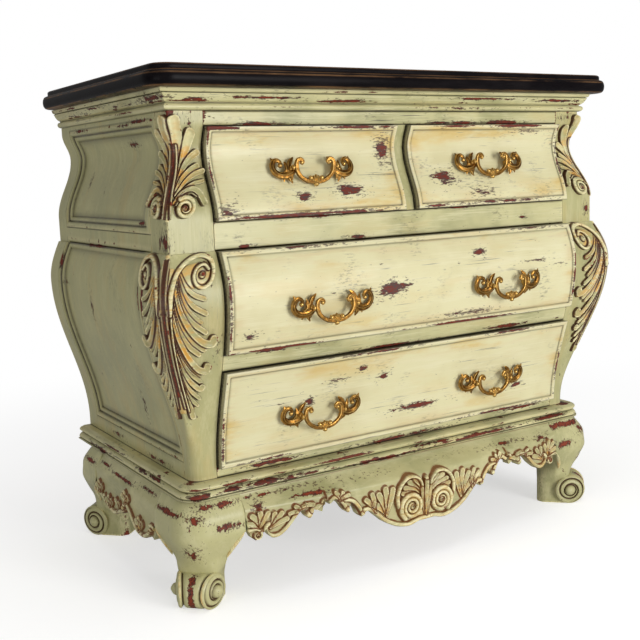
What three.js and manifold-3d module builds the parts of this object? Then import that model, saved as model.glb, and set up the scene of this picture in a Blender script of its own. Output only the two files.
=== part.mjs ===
// Bombe chest of drawers with four drawers, carved corner leaves, a scrolled apron and scroll feet.
// Millimetres, +Z up, the front faces -Y. The origin is on the floor under the middle of the chest.
import * as THREE from "three";
import { mergeVertices } from "three/addons/utils/BufferGeometryUtils.js";
import Module from "manifold-3d";

const wasm = await Module();
wasm.setup();

// Vertices closer than this are one vertex.
const weldDistance = 1e-3;

// Carcass, measured at the plain middle rail
const carcassWidth = 1008;
const carcassDepth = 572;
const postWidth = 86;
const postDepth = 70;

// Heights of the layers, from the floor up
const footHeight = 200;
const baseHeight = 28;
const bottomRailHeight = 17;
const bottomOpeningHeight = 185;
const lowerRailHeight = 30;
const middleOpeningHeight = 182;
const middleRailHeight = 48;
const upperOpeningHeight = 163;
const friezeHeight = 25;
const corniceHeight = 37;
const slabThickness = 37;

// Bombe curve: how far the front and sides stand out from the middle rail, and where
const bellyReach = 27;
const waistDepth = 37;
const coveDepth = 35;
const friezeSetBack = 20;
const lipReach = 3;
const lipFall = 2;
const bellyDrop = 82;
const coveRise = 122;
const coveTopRise = 174;
const waistCornerRadius = 26;
const cornerRadius = 2;
const cornerRoundingRise = 150;

// Clearances
const seat = 0.3;
const revealGap = 1.5;
const runnerGap = 0.4;
const guideGap = 0.8;
const overrun = 4;

// Boards
const frameThickness = 10;
const panelThickness = 10;
const rearStileWidth = 62;
const backThickness = 12;
const dustBoardThickness = 18;
const partitionThickness = 27;
const guideHeight = 18;
const guideGrip = 4;

// Side recesses
const upperRecessMargin = 22;
const recessFrontMargin = 6;
const recessTopRail = 21;
const recessMiddleRail = 6;
const recessBottomRail = 42;

// Drawers
const drawerProud = 16;
const beadWidth = 9;
const beadStep = 2;
const frontMinimum = 22;
const boxThickness = 12;
const boxHeadroom = 24;
const boxRearGap = 48;
const drawerBottomThickness = 6;
const drawerBottomRise = 9;

// Top slab and mouldings
const slabOverhang = 27;
const slabFrontOverhang = 36;
const slabBackOverhang = 0.5;
const slabCornerRadius = 42;
const slabEdgeInset = 15;
const corniceReach = 19;
const baseReach = 29;
const baseCornerRadius = 46;

// Aprons
const apronThickness = 20;
const apronSetBack = 4;
const apronDrop = 118;
const sideApronDrop = 92;
const apronRampFall = 28;
const apronFlare = 20;
const apronBow = 26;
const sideApronFlare = 10;
const cartoucheThickness = 16;
const voluteRadius = 27;
const voluteTube = 7;
const voluteSpacing = 72;
const voluteRise = 113;

// Feet
const kneeWidth = 104;
const ankleWidth = 64;
const toeWidth = 52;
const kneeReach = 8;
const ankleSetBack = 15;
const toeSetBack = 40;
const rollRadius = 33;
const rollLength = 92;
const rollSetBack = 29;
const rollFlat = 1;
const rearFootSetIn = 28;
const buttonRadius = 12;
const buttonHeight = 7;

// Handles
const handleOffsetShare = 0.507;
const pivotSpan = 78;
const pivotReach = 19;
const postSpread = 54;
const postStemRadius = 7.5;
const armStandOff = 9;
const tipStandOff = 11;
const dropStandOff = 10;
const bailDrop = 27;
const bailRadius = 4.2;
const bailCurlRadius = 5.5;
const pinRadius = 2.2;
const pinLength = 11;
const pinGap = 0.5;
const earRadius = 5.6;
const earLength = 9;
const earGap = 0.8;
const bossRadius = 7;
const claspWidth = 34;
const claspHeight = 21;
const claspDepth = 13;
const middleHandleDrop = 18;
const bottomHandleDrop = 10;

// Carved corner leaves
const upperLeafWidth = 46;
const lowerLeafWidth = 74;
const leafEdge = 3;
const leafRelief = 7;
const leafVoluteRelief = 6;
const leafVoluteRadius = 19;
const upperLeafMargin = 3;
const lowerLeafDrop = 293;

// Levels worked out from the heights
const baseTop = footHeight + baseHeight;
const bottomRailTop = baseTop + bottomRailHeight;
const lowerRailBottom = bottomRailTop + bottomOpeningHeight;
const lowerRailTop = lowerRailBottom + lowerRailHeight;
const middleRailBottom = lowerRailTop + middleOpeningHeight;
const middleRailTop = middleRailBottom + middleRailHeight;
const friezeBottom = middleRailTop + upperOpeningHeight;
const friezeTop = friezeBottom + friezeHeight;
const corniceTop = friezeTop + corniceHeight;
const slabTop = corniceTop + slabThickness;
const bellyZ = middleRailBottom - bellyDrop;
const coveZ = middleRailTop + coveRise;
const coveTopZ = middleRailTop + coveTopRise;
const waistZ = bottomRailTop;

const halfWidth = carcassWidth / 2;
const openingHalf = halfWidth - postWidth;
const drawerHalf = openingHalf - revealGap;

// A smooth half wave from a to b as z goes from z0 to z1.
function wave(z, z0, z1, a, b) {
  const t = THREE.MathUtils.clamp((z - z0) / (z1 - z0), 0, 1);
  return a + ((b - a) * (1 - Math.cos(Math.PI * t))) / 2;
}

// How far the carcass stands out from the plane of the middle rail at height z.
function bulge(z) {
  if (z >= coveZ) return wave(z, coveZ, coveTopZ, -coveDepth, -friezeSetBack);
  if (z >= middleRailTop) return wave(z, middleRailTop, coveZ, 0, -coveDepth);
  if (z > middleRailBottom - lipFall) return 0;
  if (z >= bellyZ) {
    const t = (z - bellyZ) / (middleRailBottom - bellyZ);
    return lipReach + (bellyReach - lipReach) * Math.cos((t * Math.PI) / 2);
  }
  return wave(z, waistZ, bellyZ, -waistDepth, bellyReach);
}

// Heights at which every curved piece has an edge, so that neighbours share their facets.
function spread(z0, z1, count) {
  return Array.from({ length: count }, (_, i) => z0 + ((z1 - z0) * i) / count);
}
const profileLevels = [
  ...spread(waistZ, bellyZ, 10),
  ...spread(bellyZ, middleRailBottom - lipFall, 3),
  middleRailBottom - lipFall,
  middleRailBottom,
  ...spread(middleRailTop, coveZ, 5),
  ...spread(coveZ, coveTopZ, 3),
  coveTopZ,
];

// The profile levels between two heights, with both heights.
function levelsBetween(z0, z1) {
  return [z0, ...profileLevels.filter((z) => z > z0 + lipFall / 2 && z < z1 - lipFall / 2), z1];
}

// The same levels with each step cut into equal parts.
function fineLevels(z0, z1, parts) {
  const levels = levelsBetween(z0, z1);
  return levels.slice(1).flatMap((z, i) => spread(levels[i], z, parts)).concat(z1);
}

// The bulge along the straight facets between the profile levels.
function faceBulge(z) {
  const above = profileLevels.findIndex((level) => level >= z);
  if (above <= 0) return bulge(z);
  const [z0, z1] = [profileLevels[above - 1], profileLevels[above]];
  return THREE.MathUtils.mapLinear(z, z0, z1, bulge(z0), bulge(z1));
}

// The slope of the face at height z, as a turn about X.
function faceTurn(z) {
  const step = upperOpeningHeight / 16;
  return Math.atan2(faceBulge(z + step) - faceBulge(z - step), 2 * step);
}

// Handle heights, and the plane of the middle rail's face
const upperPivotZ = (middleRailTop + friezeBottom) / 2;
const middlePivotZ = (lowerRailTop + middleRailBottom) / 2 - middleHandleDrop;
const bottomPivotZ = (bottomRailTop + lowerRailBottom) / 2 - bottomHandleDrop;
const foremost = faceBulge(middlePivotZ) + drawerProud - beadStep
  + pivotReach * Math.cos(faceTurn(middlePivotZ)) + claspDepth / 2;
const totalDepth = carcassDepth + slabBackOverhang + foremost;
const backY = totalDepth / 2 - slabBackOverhang;
const frontY = backY - carcassDepth;
const postBackY = frontY + postDepth;
const backPanelY = backY - backThickness;

// Materials
function paint(color, roughness, metalness = 0) {
  return new THREE.MeshStandardMaterial({ color, roughness, metalness });
}
const materials = {
  green: paint(0xb4b384, 0.5),
  cream: paint(0xe6dfb8, 0.45),
  carved: paint(0xc6bd86, 0.55),
  slab: paint(0x2b2624, 0.35),
  timber: paint(0xa98058, 0.75),
  brass: paint(0xb07a35, 0.35, 0.9),
};

// Chest group that holds every piece
const chest = new THREE.Group();
chest.name = "bombe_chest";

function place(name, geometry, material, parent = chest) {
  const mesh = new THREE.Mesh(geometry, material);
  mesh.name = name;
  parent.add(mesh);
  return mesh;
}

// A geometry with only its positions and shared vertices, its faces turned outwards.
function closed(geometry) {
  const bare = geometry.clone();
  bare.deleteAttribute("normal");
  bare.deleteAttribute("uv");
  const merged = mergeVertices(bare, weldDistance);
  const at = merged.attributes.position;
  const index = merged.index.array;
  const corner = [0, 1, 2].map(() => new THREE.Vector3());
  let volume = 0;
  for (let i = 0; i < index.length; i += 3) {
    corner.forEach((c, k) => c.fromBufferAttribute(at, index[i + k]));
    volume += corner[0].dot(corner[1].clone().cross(corner[2]));
  }
  if (volume < 0) index.reverse();
  return merged;
}

function toSolid(geometry) {
  const merged = closed(geometry);
  const vertProperties = new Float32Array(merged.attributes.position.array);
  const triVerts = new Uint32Array(merged.index.array);
  return new wasm.Manifold(new wasm.Mesh({ numProp: 3, vertProperties, triVerts }));
}

function toGeometry(solid) {
  const mesh = solid.getMesh();
  const positions = new Float32Array(mesh.numVert * 3);
  for (let i = 0; i < mesh.numVert; i += 1) {
    positions.set(mesh.vertProperties.subarray(i * mesh.numProp, i * mesh.numProp + 3), i * 3);
  }
  const geometry = new THREE.BufferGeometry();
  geometry.setAttribute("position", new THREE.BufferAttribute(positions, 3));
  geometry.setIndex(new THREE.BufferAttribute(new Uint32Array(mesh.triVerts), 1));
  return geometry;
}

// Joins the first geometry with the others, or cuts them from it.
function join(...geometries) {
  return toGeometry(geometries.map(toSolid).reduce((whole, piece) => whole.add(piece)));
}
function cut(geometry, ...tools) {
  return toGeometry(tools.map(toSolid).reduce((whole, tool) => whole.subtract(tool), toSolid(geometry)));
}

// A box between two opposite corners.
function block(x0, x1, y0, y1, z0, z1) {
  const geometry = new THREE.BoxGeometry(x1 - x0, y1 - y0, z1 - z0);
  return geometry.translate((x0 + x1) / 2, (y0 + y1) / 2, (z0 + z1) / 2);
}

// A closed body through rings of points with equal counts, capped at both ends.
function loft(rings, capTriangles) {
  const count = rings[0].length;
  const positions = rings.flat().flatMap((p) => [p.x, p.y, p.z]);
  const index = [];
  for (let r = 0; r + 1 < rings.length; r += 1) {
    for (let i = 0; i < count; i += 1) {
      const a = r * count + i;
      const b = r * count + ((i + 1) % count);
      index.push(a, b, b + count, a, b + count, a + count);
    }
  }
  const last = (rings.length - 1) * count;
  capTriangles.forEach(([a, b, c]) => index.push(c, b, a, last + a, last + b, last + c));
  const geometry = new THREE.BufferGeometry();
  geometry.setAttribute("position", new THREE.Float32BufferAttribute(positions, 3));
  geometry.setIndex(index);
  return closed(geometry);
}

// A loft of level outlines: each level is a height and an outline of Vector2 points.
function stack(levels) {
  const clockwise = THREE.ShapeUtils.isClockWise(levels[0][1]);
  const outlines = levels.map(([, outline]) => (clockwise ? [...outline].reverse() : outline));
  const rings = levels.map(([z], i) => outlines[i].map((p) => new THREE.Vector3(p.x, p.y, z)));
  return loft(rings, THREE.ShapeUtils.triangulateShape(outlines[0], []));
}

// A tube with a changing radius along a curve; flat squeezes it along Y.
function taperedTube(points, radii, sides, steps, flat = 1) {
  const curve = new THREE.CatmullRomCurve3(points);
  const frames = curve.computeFrenetFrames(steps, false);
  const rings = Array.from({ length: steps + 1 }, (_, i) => {
    const t = i / steps;
    const at = curve.getPointAt(t);
    const span = t * (radii.length - 1);
    const low = Math.min(Math.floor(span), radii.length - 2);
    const radius = THREE.MathUtils.lerp(radii[low], radii[low + 1], span - low);
    return Array.from({ length: sides }, (__, k) => {
      const angle = ((k + 0.5) / sides) * Math.PI * 2;
      const out = frames.normals[i].clone().multiplyScalar(radius * Math.cos(angle))
        .addScaledVector(frames.binormals[i], radius * Math.sin(angle));
      out.y *= flat;
      return at.clone().add(out);
    });
  });
  const fan = Array.from({ length: sides - 2 }, (_, k) => [0, k + 1, k + 2]);
  return loft(rings, fan);
}

// Outline of a corner with a rounded outer edge, from the inner front to the inner back point.
function postOutline(side, z) {
  const out = faceBulge(z);
  const drop = wave(z, baseTop, baseTop + cornerRoundingRise, waistCornerRadius, cornerRadius);
  const centre = new THREE.Vector2(halfWidth + out - drop, frontY - out + drop);
  const arc = Array.from({ length: 4 }, (_, i) => {
    const angle = ((i / 3) * Math.PI) / 2;
    return new THREE.Vector2(centre.x + drop * Math.sin(angle), centre.y - drop * Math.cos(angle));
  });
  const outline = [
    new THREE.Vector2(openingHalf, frontY - out),
    ...arc,
    new THREE.Vector2(halfWidth + out, postBackY),
    new THREE.Vector2(openingHalf, postBackY),
  ];
  return outline.map((p) => new THREE.Vector2(side * p.x, p.y));
}

// A member of the front between two x values, with the bombe face and a flat back.
function frontMember(x0, x1, z0, z1, back) {
  const outline = (z) => {
    const y = frontY - faceBulge(z);
    return [
      new THREE.Vector2(x0, y),
      new THREE.Vector2(x1, y),
      new THREE.Vector2(x1, back),
      new THREE.Vector2(x0, back),
    ];
  };
  return stack(levelsBetween(z0, z1).map((z) => [z, outline(z)]));
}

// A board that follows the bombe side at a given depth below its face.
function sideBoard(side, inset, thickness, y0, y1, z0, z1) {
  const outline = (z) => {
    const x = side * (halfWidth + faceBulge(z) - inset);
    const inner = x - side * thickness;
    return [
      new THREE.Vector2(x, y0),
      new THREE.Vector2(x, y1),
      new THREE.Vector2(inner, y1),
      new THREE.Vector2(inner, y0),
    ];
  };
  return stack(levelsBetween(z0, z1).map((z) => [z, outline(z)]));
}

// Carcass
const carcassBottom = baseTop + seat;
const panelFrontY = postBackY + seat;
const sideNames = { left: -1, right: 1 };

function frontPost(side) {
  return stack(levelsBetween(carcassBottom, friezeTop).map((z) => [z, postOutline(side, z)]));
}

function sideFrame(side) {
  const board = sideBoard(side, 0, frameThickness, panelFrontY, backY, carcassBottom, friezeTop);
  const reach = halfWidth + bellyReach + overrun;
  const recess = (frontMargin, z0, z1) => {
    const x = [side * (halfWidth - coveDepth - waistDepth), side * reach].sort((a, b) => a - b);
    return block(x[0], x[1], panelFrontY + frontMargin, backY - rearStileWidth, z0, z1);
  };
  return cut(
    board,
    recess(upperRecessMargin, middleRailTop - recessMiddleRail, friezeTop - recessTopRail),
    recess(recessFrontMargin, baseTop + recessBottomRail, middleRailBottom),
  );
}

// The opening heights of the three drawer rows
const rows = {
  upper: { z0: middleRailTop, z1: friezeBottom, pivotZ: upperPivotZ },
  middle: { z0: lowerRailTop, z1: middleRailBottom, pivotZ: middlePivotZ },
  bottom: { z0: bottomRailTop, z1: lowerRailBottom, pivotZ: bottomPivotZ },
};

function sidePanel(side) {
  const inset = frameThickness + seat;
  const end = backPanelY - seat;
  const panel = sideBoard(side, inset, panelThickness, panelFrontY, end, carcassBottom, friezeTop);
  const guides = Object.values(rows).map(({ z0 }) => {
    const inner = drawerHalf + guideGap;
    const outer = halfWidth + Math.min(faceBulge(z0), faceBulge(z0 + guideHeight)) - inset - panelThickness;
    const x = [side * inner, side * (outer + guideGrip)].sort((a, b) => a - b);
    return block(x[0], x[1], panelFrontY, end, z0 + seat, z0 + guideHeight);
  });
  return join(panel, ...guides);
}

function dustBoard(top) {
  const low = top - dustBoardThickness;
  const least = Math.min(...levelsBetween(low, top).map(faceBulge));
  const half = halfWidth + least - frameThickness - panelThickness - 2 * seat;
  return block(-half, half, panelFrontY, backPanelY - seat, Math.max(low, carcassBottom), top);
}

function backPanel() {
  const levels = levelsBetween(carcassBottom, friezeTop);
  const edge = (z) => halfWidth + faceBulge(z) - frameThickness - seat;
  const right = levels.map((z) => new THREE.Vector2(edge(z), z));
  const left = [...levels].reverse().map((z) => new THREE.Vector2(-edge(z), z));
  const panel = new THREE.ExtrudeGeometry(new THREE.Shape([...right, ...left]), {
    depth: backThickness,
    bevelEnabled: false,
  });
  return panel.rotateX(Math.PI / 2).translate(0, backY, 0);
}

for (const [name, side] of Object.entries(sideNames)) {
  place(`${name}_front_post`, frontPost(side), materials.green);
  place(`${name}_side_frame`, sideFrame(side), materials.green);
  place(`${name}_side_panel`, sidePanel(side), materials.green);
}
const railHalf = openingHalf - seat;
const rails = {
  frieze_rail: [friezeBottom, friezeTop],
  middle_rail: [middleRailBottom, middleRailTop],
  lower_rail: [lowerRailBottom, lowerRailTop],
  bottom_rail: [carcassBottom, bottomRailTop],
};
for (const [name, [z0, z1]] of Object.entries(rails)) {
  place(name, frontMember(-railHalf, railHalf, z0, z1, postBackY), materials.green);
}
const partitionHalf = partitionThickness / 2;
const partitionLevels = [middleRailTop + seat, friezeBottom - seat];
const partition = frontMember(-partitionHalf, partitionHalf, ...partitionLevels, backPanelY - seat);
place("drawer_partition", partition, materials.green);
place("upper_dust_board", dustBoard(middleRailTop), materials.timber);
place("lower_dust_board", dustBoard(lowerRailTop), materials.timber);
place("bottom_board", dustBoard(bottomRailTop), materials.timber);
place("back_panel", backPanel(), materials.timber);

// Plan outline with rounded front corners and rounded or square back corners.
function planOutline(half, front, back, frontRadius, backRadius, steps = 4) {
  const corners = [
    [half, back, backRadius, 0],
    [-half, back, backRadius, 1],
    [-half, front, frontRadius, 2],
    [half, front, frontRadius, 3],
  ];
  return corners.flatMap(([x, y, radius, quarter]) => {
    const centre = new THREE.Vector2(x - Math.sign(x) * radius, y - (y === back ? radius : -radius));
    const count = radius > 0 ? steps : 0;
    return Array.from({ length: count + 1 }, (_, i) => {
      const angle = (quarter + (count ? i / count : 0)) * (Math.PI / 2);
      return new THREE.Vector2(centre.x + radius * Math.cos(angle), centre.y + radius * Math.sin(angle));
    });
  });
}

// Top slab: a half-round nose under a thin raised field, each point a share of thickness and inset.
const slabProfileShares = [
  [0, 0.55], [0.04, 0.3], [0.16, 0.08], [0.34, 0], [0.52, 0.06], [0.66, 0.28],
  [0.72, 0.62], [0.76, 0.72], [0.92, 0.74], [1, 1],
];
function topSlab() {
  const half = halfWidth + slabOverhang;
  const front = frontY - slabFrontOverhang;
  const back = backY + slabBackOverhang;
  return stack(slabProfileShares.map(([heightShare, insetShare]) => {
    const inset = slabEdgeInset * insetShare;
    const z = THREE.MathUtils.lerp(corniceTop + seat, slabTop, heightShare);
    const radius = slabCornerRadius - inset;
    return [z, planOutline(half - inset, front + inset, back - inset, radius, radius)];
  }));
}
place("top_slab", topSlab(), materials.slab);

// Cornice: bead, groove, cove and fillet, as shares of its height and reach from the frieze.
const corniceProfileShares = [
  [0, 0.1], [0.04, 0.3], [0.12, 0.42], [0.22, 0.42], [0.3, 0.3], [0.33, 0.12], [0.38, 0.14],
  [0.44, 0.34], [0.54, 0.52], [0.68, 0.64], [0.8, 0.7], [0.84, 0.86], [1, 1],
];
function cornice() {
  return stack(corniceProfileShares.map(([heightShare, reachShare]) => {
    const out = corniceReach * reachShare - friezeSetBack;
    const z = THREE.MathUtils.lerp(friezeTop + seat, corniceTop, heightShare);
    return [z, planOutline(halfWidth + out, frontY - out, backY, 0, 0)];
  }));
}
place("cornice", cornice(), materials.green);

// Base moulding: fillet, groove, cove and bead, as shares of its height and reach from the waist.
const baseProfileShares = [
  [0, 1], [0.08, 1], [0.14, 0.84], [0.2, 0.94], [0.34, 0.86], [0.46, 0.7], [0.54, 0.66],
  [0.6, 0.8], [0.74, 0.88], [0.88, 0.8], [1, 0.5],
];
function baseMoulding() {
  return stack(baseProfileShares.map(([heightShare, reachShare]) => {
    const out = baseReach * reachShare - waistDepth;
    const z = THREE.MathUtils.lerp(footHeight, baseTop, heightShare);
    const radius = baseCornerRadius - baseReach * (1 - reachShare);
    return [z, planOutline(halfWidth + out, frontY - out, backY, radius, 0)];
  }));
}
place("base_moulding", baseMoulding(), materials.green);

// Feet
const standTop = footHeight - seat;
const standOut = baseReach - waistDepth - apronSetBack;
const rearFootY = backY - rearFootSetIn;

// A cabriole leg: at shares of its height, shares of the way from toe to ankle, ankle to knee
// and knee to top. The knee swells outwards while its inner edges stay beside the aprons.
const toe = [-toeSetBack, toeWidth];
const ankle = [-ankleSetBack, ankleWidth];
const knee = [kneeReach, kneeWidth + kneeReach - standOut];
const crown = [standOut, kneeWidth];
const blend = (a, b, share) => a.map((value, i) => THREE.MathUtils.lerp(value, b[i], share));
const footSections = [
  [0, toe],
  [0.16, toe],
  [0.24, blend(toe, ankle, 0.45)],
  [0.31, blend(toe, ankle, 0.9)],
  [0.37, ankle],
  [0.44, blend(ankle, knee, 0.18)],
  [0.52, blend(ankle, knee, 0.52)],
  [0.6, blend(ankle, knee, 0.88)],
  [0.67, knee],
  [0.75, blend(knee, crown, 0.22)],
  [0.84, blend(knee, crown, 0.75)],
  [0.92, crown],
  [1, crown],
];

// The outer corner of the foot is rounded, like the corner of the base moulding.
function footOutline(out, width, sideX, sideY, faceY) {
  const radius = Math.min(baseCornerRadius, width / 2);
  const [x, y] = [halfWidth + out, out];
  const arc = Array.from({ length: 5 }, (_, i) => {
    const angle = (i / 4) * (Math.PI / 2);
    return new THREE.Vector2(x - radius + radius * Math.cos(angle), y - radius + radius * Math.sin(angle));
  });
  const outline = [
    new THREE.Vector2(x - width, y),
    new THREE.Vector2(x - width, y - width),
    new THREE.Vector2(x, y - width),
    ...arc,
  ];
  return outline.map((p) => new THREE.Vector2(sideX * p.x, faceY + sideY * p.y));
}

function foot(sideX, sideY) {
  const faceY = sideY < 0 ? frontY : rearFootY;
  const leg = stack(footSections.map(([heightShare, [out, width]]) => [
    standTop * heightShare,
    footOutline(out, width, sideX, sideY, faceY),
  ]));
  const roll = new THREE.CylinderGeometry(rollRadius, rollRadius, rollLength, 16);
  const buttonLength = rollLength + 2 * buttonHeight;
  const button = new THREE.CylinderGeometry(buttonRadius * 0.7, buttonRadius, buttonHeight, 8);
  const flip = button.clone().rotateX(Math.PI);
  const buttons = [
    button.translate(0, (buttonLength - buttonHeight) / 2, 0),
    flip.translate(0, (buttonHeight - buttonLength) / 2, 0),
  ];
  const across = new THREE.Matrix4().makeRotationZ((Math.PI / 4) * sideX * sideY);
  const x = sideX * (halfWidth - rollSetBack);
  const y = faceY - sideY * rollSetBack;
  const seated = [roll, ...buttons].map((piece) =>
    piece.applyMatrix4(across).translate(x, y, rollRadius - rollFlat));
  const under = 2 * rollRadius;
  const floor = block(x - 2 * under, x + 2 * under, y - 2 * under, y + 2 * under, -under, 0);
  return cut(join(leg, ...seated), floor);
}
for (const [name, side] of Object.entries(sideNames)) {
  place(`${name}_front_foot`, foot(side, -1), materials.carved);
  place(`${name}_rear_foot`, foot(side, 1), materials.carved);
}

// Aprons: lower edges as shares of the length from the middle and of the drop.
const frontApronShares = [
  [0, 1.03], [0.115, 1.09], [0.19, 1.03], [0.25, 0.92], [0.307, 0.76], [0.35, 0.64], [0.387, 0.73],
  [0.42, 0.56], [0.444, 0.46], [0.47, 0.6], [0.5, 0.45], [0.537, 0.34], [0.583, 0.3], [0.606, 0.5],
  [0.655, 0.42], [0.68, 0.56], [0.705, 0.4], [0.725, 0.4], [0.78, 0.59], [0.845, 0.74], [0.89, 0.7],
  [0.91, 0.56], [0.945, 0.74], [0.972, 0.69], [1, 0.56],
];
const sideApronShares = [
  [-1, 0.89], [-0.93, 1.04], [-0.8, 1], [-0.7, 1.12], [-0.48, 1.12], [-0.32, 0.95], [-0.215, 0.78],
  [-0.12, 0.71], [-0.02, 0.91], [0.11, 0.97], [0.31, 1.09], [0.44, 1.07], [0.65, 0.98], [0.88, 0.84],
  [1, 0.78],
];
const rearApronShares = [[0, 0.5], [0.5, 0.52], [0.85, 0.58], [1, 0.62]];

// A share table of one half, mirrored about the middle.
const mirrorShares = (shares) => [
  ...shares.slice(1).reverse().map(([along, down]) => [-along, down]),
  ...shares,
];

// A scalloped board whose face steps forwards below a short ramp: by the flare at its ends and by
// the bow more in the middle. Its face at the top is at y = 0 and looks along -Y.
function apronBoard(half, drop, shares, flare = 0, bow = 0) {
  const rings = shares.map(([along, down]) => {
    const reach = flare + bow * (1 - along * along);
    const low = standTop - drop * down;
    const ramp = [standTop, standTop - apronRampFall / 2, standTop - apronRampFall];
    const levels = flare > 0 ? [...ramp, low] : [standTop, low];
    const forward = (z) => wave(standTop - z, 0, apronRampFall, 0, reach);
    const face = levels.map((z) => new THREE.Vector3(along * half, -forward(z), z));
    const back = levels.map((z) => new THREE.Vector3(along * half, apronThickness - forward(z), z));
    return [...face, ...back.reverse()];
  });
  const last = rings[0].length - 1;
  const caps = [];
  for (let i = 0; i < (last - 1) / 2; i += 1) {
    caps.push([i, i + 1, last - i], [i + 1, last - i - 1, last - i]);
  }
  return loft(rings, caps);
}

const apronHalf = halfWidth + standOut - kneeWidth - seat;
const apronFrontY = frontY - standOut;

// One spiral volute in the XZ plane, turning inwards from its outer end.
function volute(x, y, z, hand, turns) {
  const steps = 10;
  const points = Array.from({ length: steps + 1 }, (_, i) => {
    const t = i / steps;
    const radius = (voluteRadius - voluteTube) * (1 - 0.75 * t);
    const angle = Math.PI * (0.9 + 2 * turns * t);
    const forward = t * voluteTube * 0.6;
    return new THREE.Vector3(x + hand * radius * Math.cos(angle), y - forward, z + radius * Math.sin(angle));
  });
  return taperedTube(points, [voluteTube, voluteTube, voluteTube * 0.7], 5, 10);
}

// Central cartouche: a shield on the bowed face, two volutes, and the crest leaf between them.
function cartouche() {
  const shield = new THREE.Shape();
  const half = voluteSpacing / 2;
  const low = voluteRise - voluteRadius - voluteTube;
  const high = voluteRise + voluteRadius + voluteTube;
  shield.moveTo(-half - voluteRadius, voluteRise);
  shield.absarc(-half, voluteRise, voluteRadius + voluteTube / 2, Math.PI, 1.75 * Math.PI, false);
  shield.lineTo(0, low + voluteTube);
  shield.absarc(half, voluteRise, voluteRadius + voluteTube / 2, 1.25 * Math.PI, 2 * Math.PI, false);
  shield.splineThru([
    new THREE.Vector2(half * 1.2, high),
    new THREE.Vector2(half * 0.3, high + voluteRadius * 0.5),
    new THREE.Vector2(-half * 0.3, high + voluteRadius * 0.5),
    new THREE.Vector2(-half * 1.2, high),
    new THREE.Vector2(-half - voluteRadius - voluteTube / 2, voluteRise),
  ]);
  const plate = new THREE.ExtrudeGeometry(shield, {
    depth: cartoucheThickness,
    bevelEnabled: false,
    curveSegments: 4,
  });
  plate.rotateX(Math.PI / 2).translate(0, cartoucheThickness / 2, 0);
  const scrollY = -cartoucheThickness / 2;
  const scrolls = [
    volute(-half, scrollY, voluteRise, 1, 1.5),
    volute(half, scrollY, voluteRise, -1, 1.5),
  ];
  const crest = taperedTube([
    new THREE.Vector3(0, scrollY, low + voluteTube),
    new THREE.Vector3(0, scrollY, voluteRise),
    new THREE.Vector3(0, scrollY * 0.6, high + voluteRadius * 0.3),
  ], [voluteTube * 0.5, voluteTube * 1.1, voluteTube * 0.6], 6, 4);
  return join(plate, ...scrolls, crest).translate(0, apronFrontY - apronFlare - apronBow, 0);
}

// Small leaf scrolls and bead drops along the lower edge of the front apron.
const apronScrollShares = [[0.387, 0.68], [0.47, 0.52], [0.68, 0.46], [0.945, 0.64]];
function apronScrolls(side) {
  return apronScrollShares.map(([along, down], i) => {
    const size = voluteTube * (i % 2 ? 1.1 : 1.5);
    const ball = new THREE.SphereGeometry(size, 6, 3);
    ball.scale(1.3, 0.8, 1);
    const reach = apronFlare + apronBow * (1 - along * along);
    return ball.translate(side * along * apronHalf, apronFrontY - reach, standTop - apronDrop * down);
  });
}

const frontShares = mirrorShares(frontApronShares);
const frontBoard = apronBoard(apronHalf, apronDrop, frontShares, apronFlare, apronBow);
frontBoard.translate(0, apronFrontY, 0);
const frontApron = join(frontBoard, cartouche(), ...apronScrolls(-1), ...apronScrolls(1));
place("front_apron", frontApron, materials.carved);

const rearFaceY = backY - apronSetBack;
const rearShares = mirrorShares(rearApronShares);
const rearBoard = apronBoard(apronHalf, apronDrop, rearShares).rotateZ(Math.PI);
rearBoard.translate(0, rearFaceY, 0);
place("rear_apron", rearBoard, materials.timber);

const sideFrontY = apronFrontY + kneeWidth + seat;
const sideBackY = rearFootY + standOut - kneeWidth - seat;
for (const [name, side] of Object.entries(sideNames)) {
  const turned = sideApronShares.map(([along, down]) => [-along, down]).reverse();
  const shares = side > 0 ? sideApronShares : turned;
  const board = apronBoard((sideBackY - sideFrontY) / 2, sideApronDrop, shares, sideApronFlare);
  board.rotateZ((side * Math.PI) / 2);
  board.translate(side * (halfWidth + standOut), (sideFrontY + sideBackY) / 2, 0);
  place(`${name}_apron`, board, materials.carved);
}

// Carved corner leaves wrap the front corners, half on the front and half on the side.
function leaf(side, z0, z1, widthAt, reliefAt) {
  const columns = 6;
  const levels = fineLevels(z0, z1, 2);
  const point = (across, z, height) => {
    const t = (z - z0) / (z1 - z0);
    const reach = Math.abs(across) * widthAt(t);
    const out = faceBulge(z);
    const lift = seat + height;
    const x = halfWidth + out + (across <= 0 ? lift : 0) - (across > 0 ? reach : 0);
    const y = frontY - out - (across >= 0 ? lift : 0) + (across < 0 ? reach : 0);
    return new THREE.Vector3(side * x, y, z);
  };
  const acrossShares = Array.from({ length: columns + 1 }, (_, i) => (2 * i) / columns - 1);
  const rings = levels.map((z) => {
    const t = (z - z0) / (z1 - z0);
    const top = acrossShares.map((across) => point(across, z, leafEdge + reliefAt(across, t, widthAt(t))));
    const bottom = [...acrossShares].reverse().map((across) => point(across, z, 0));
    return [...top, ...bottom];
  });
  const count = acrossShares.length;
  const caps = [];
  for (let i = 0; i + 1 < count; i += 1) {
    const j = 2 * count - 1 - i;
    caps.push([i, i + 1, j], [i + 1, j - 1, j]);
  }
  return loft(rings, caps);
}

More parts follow.
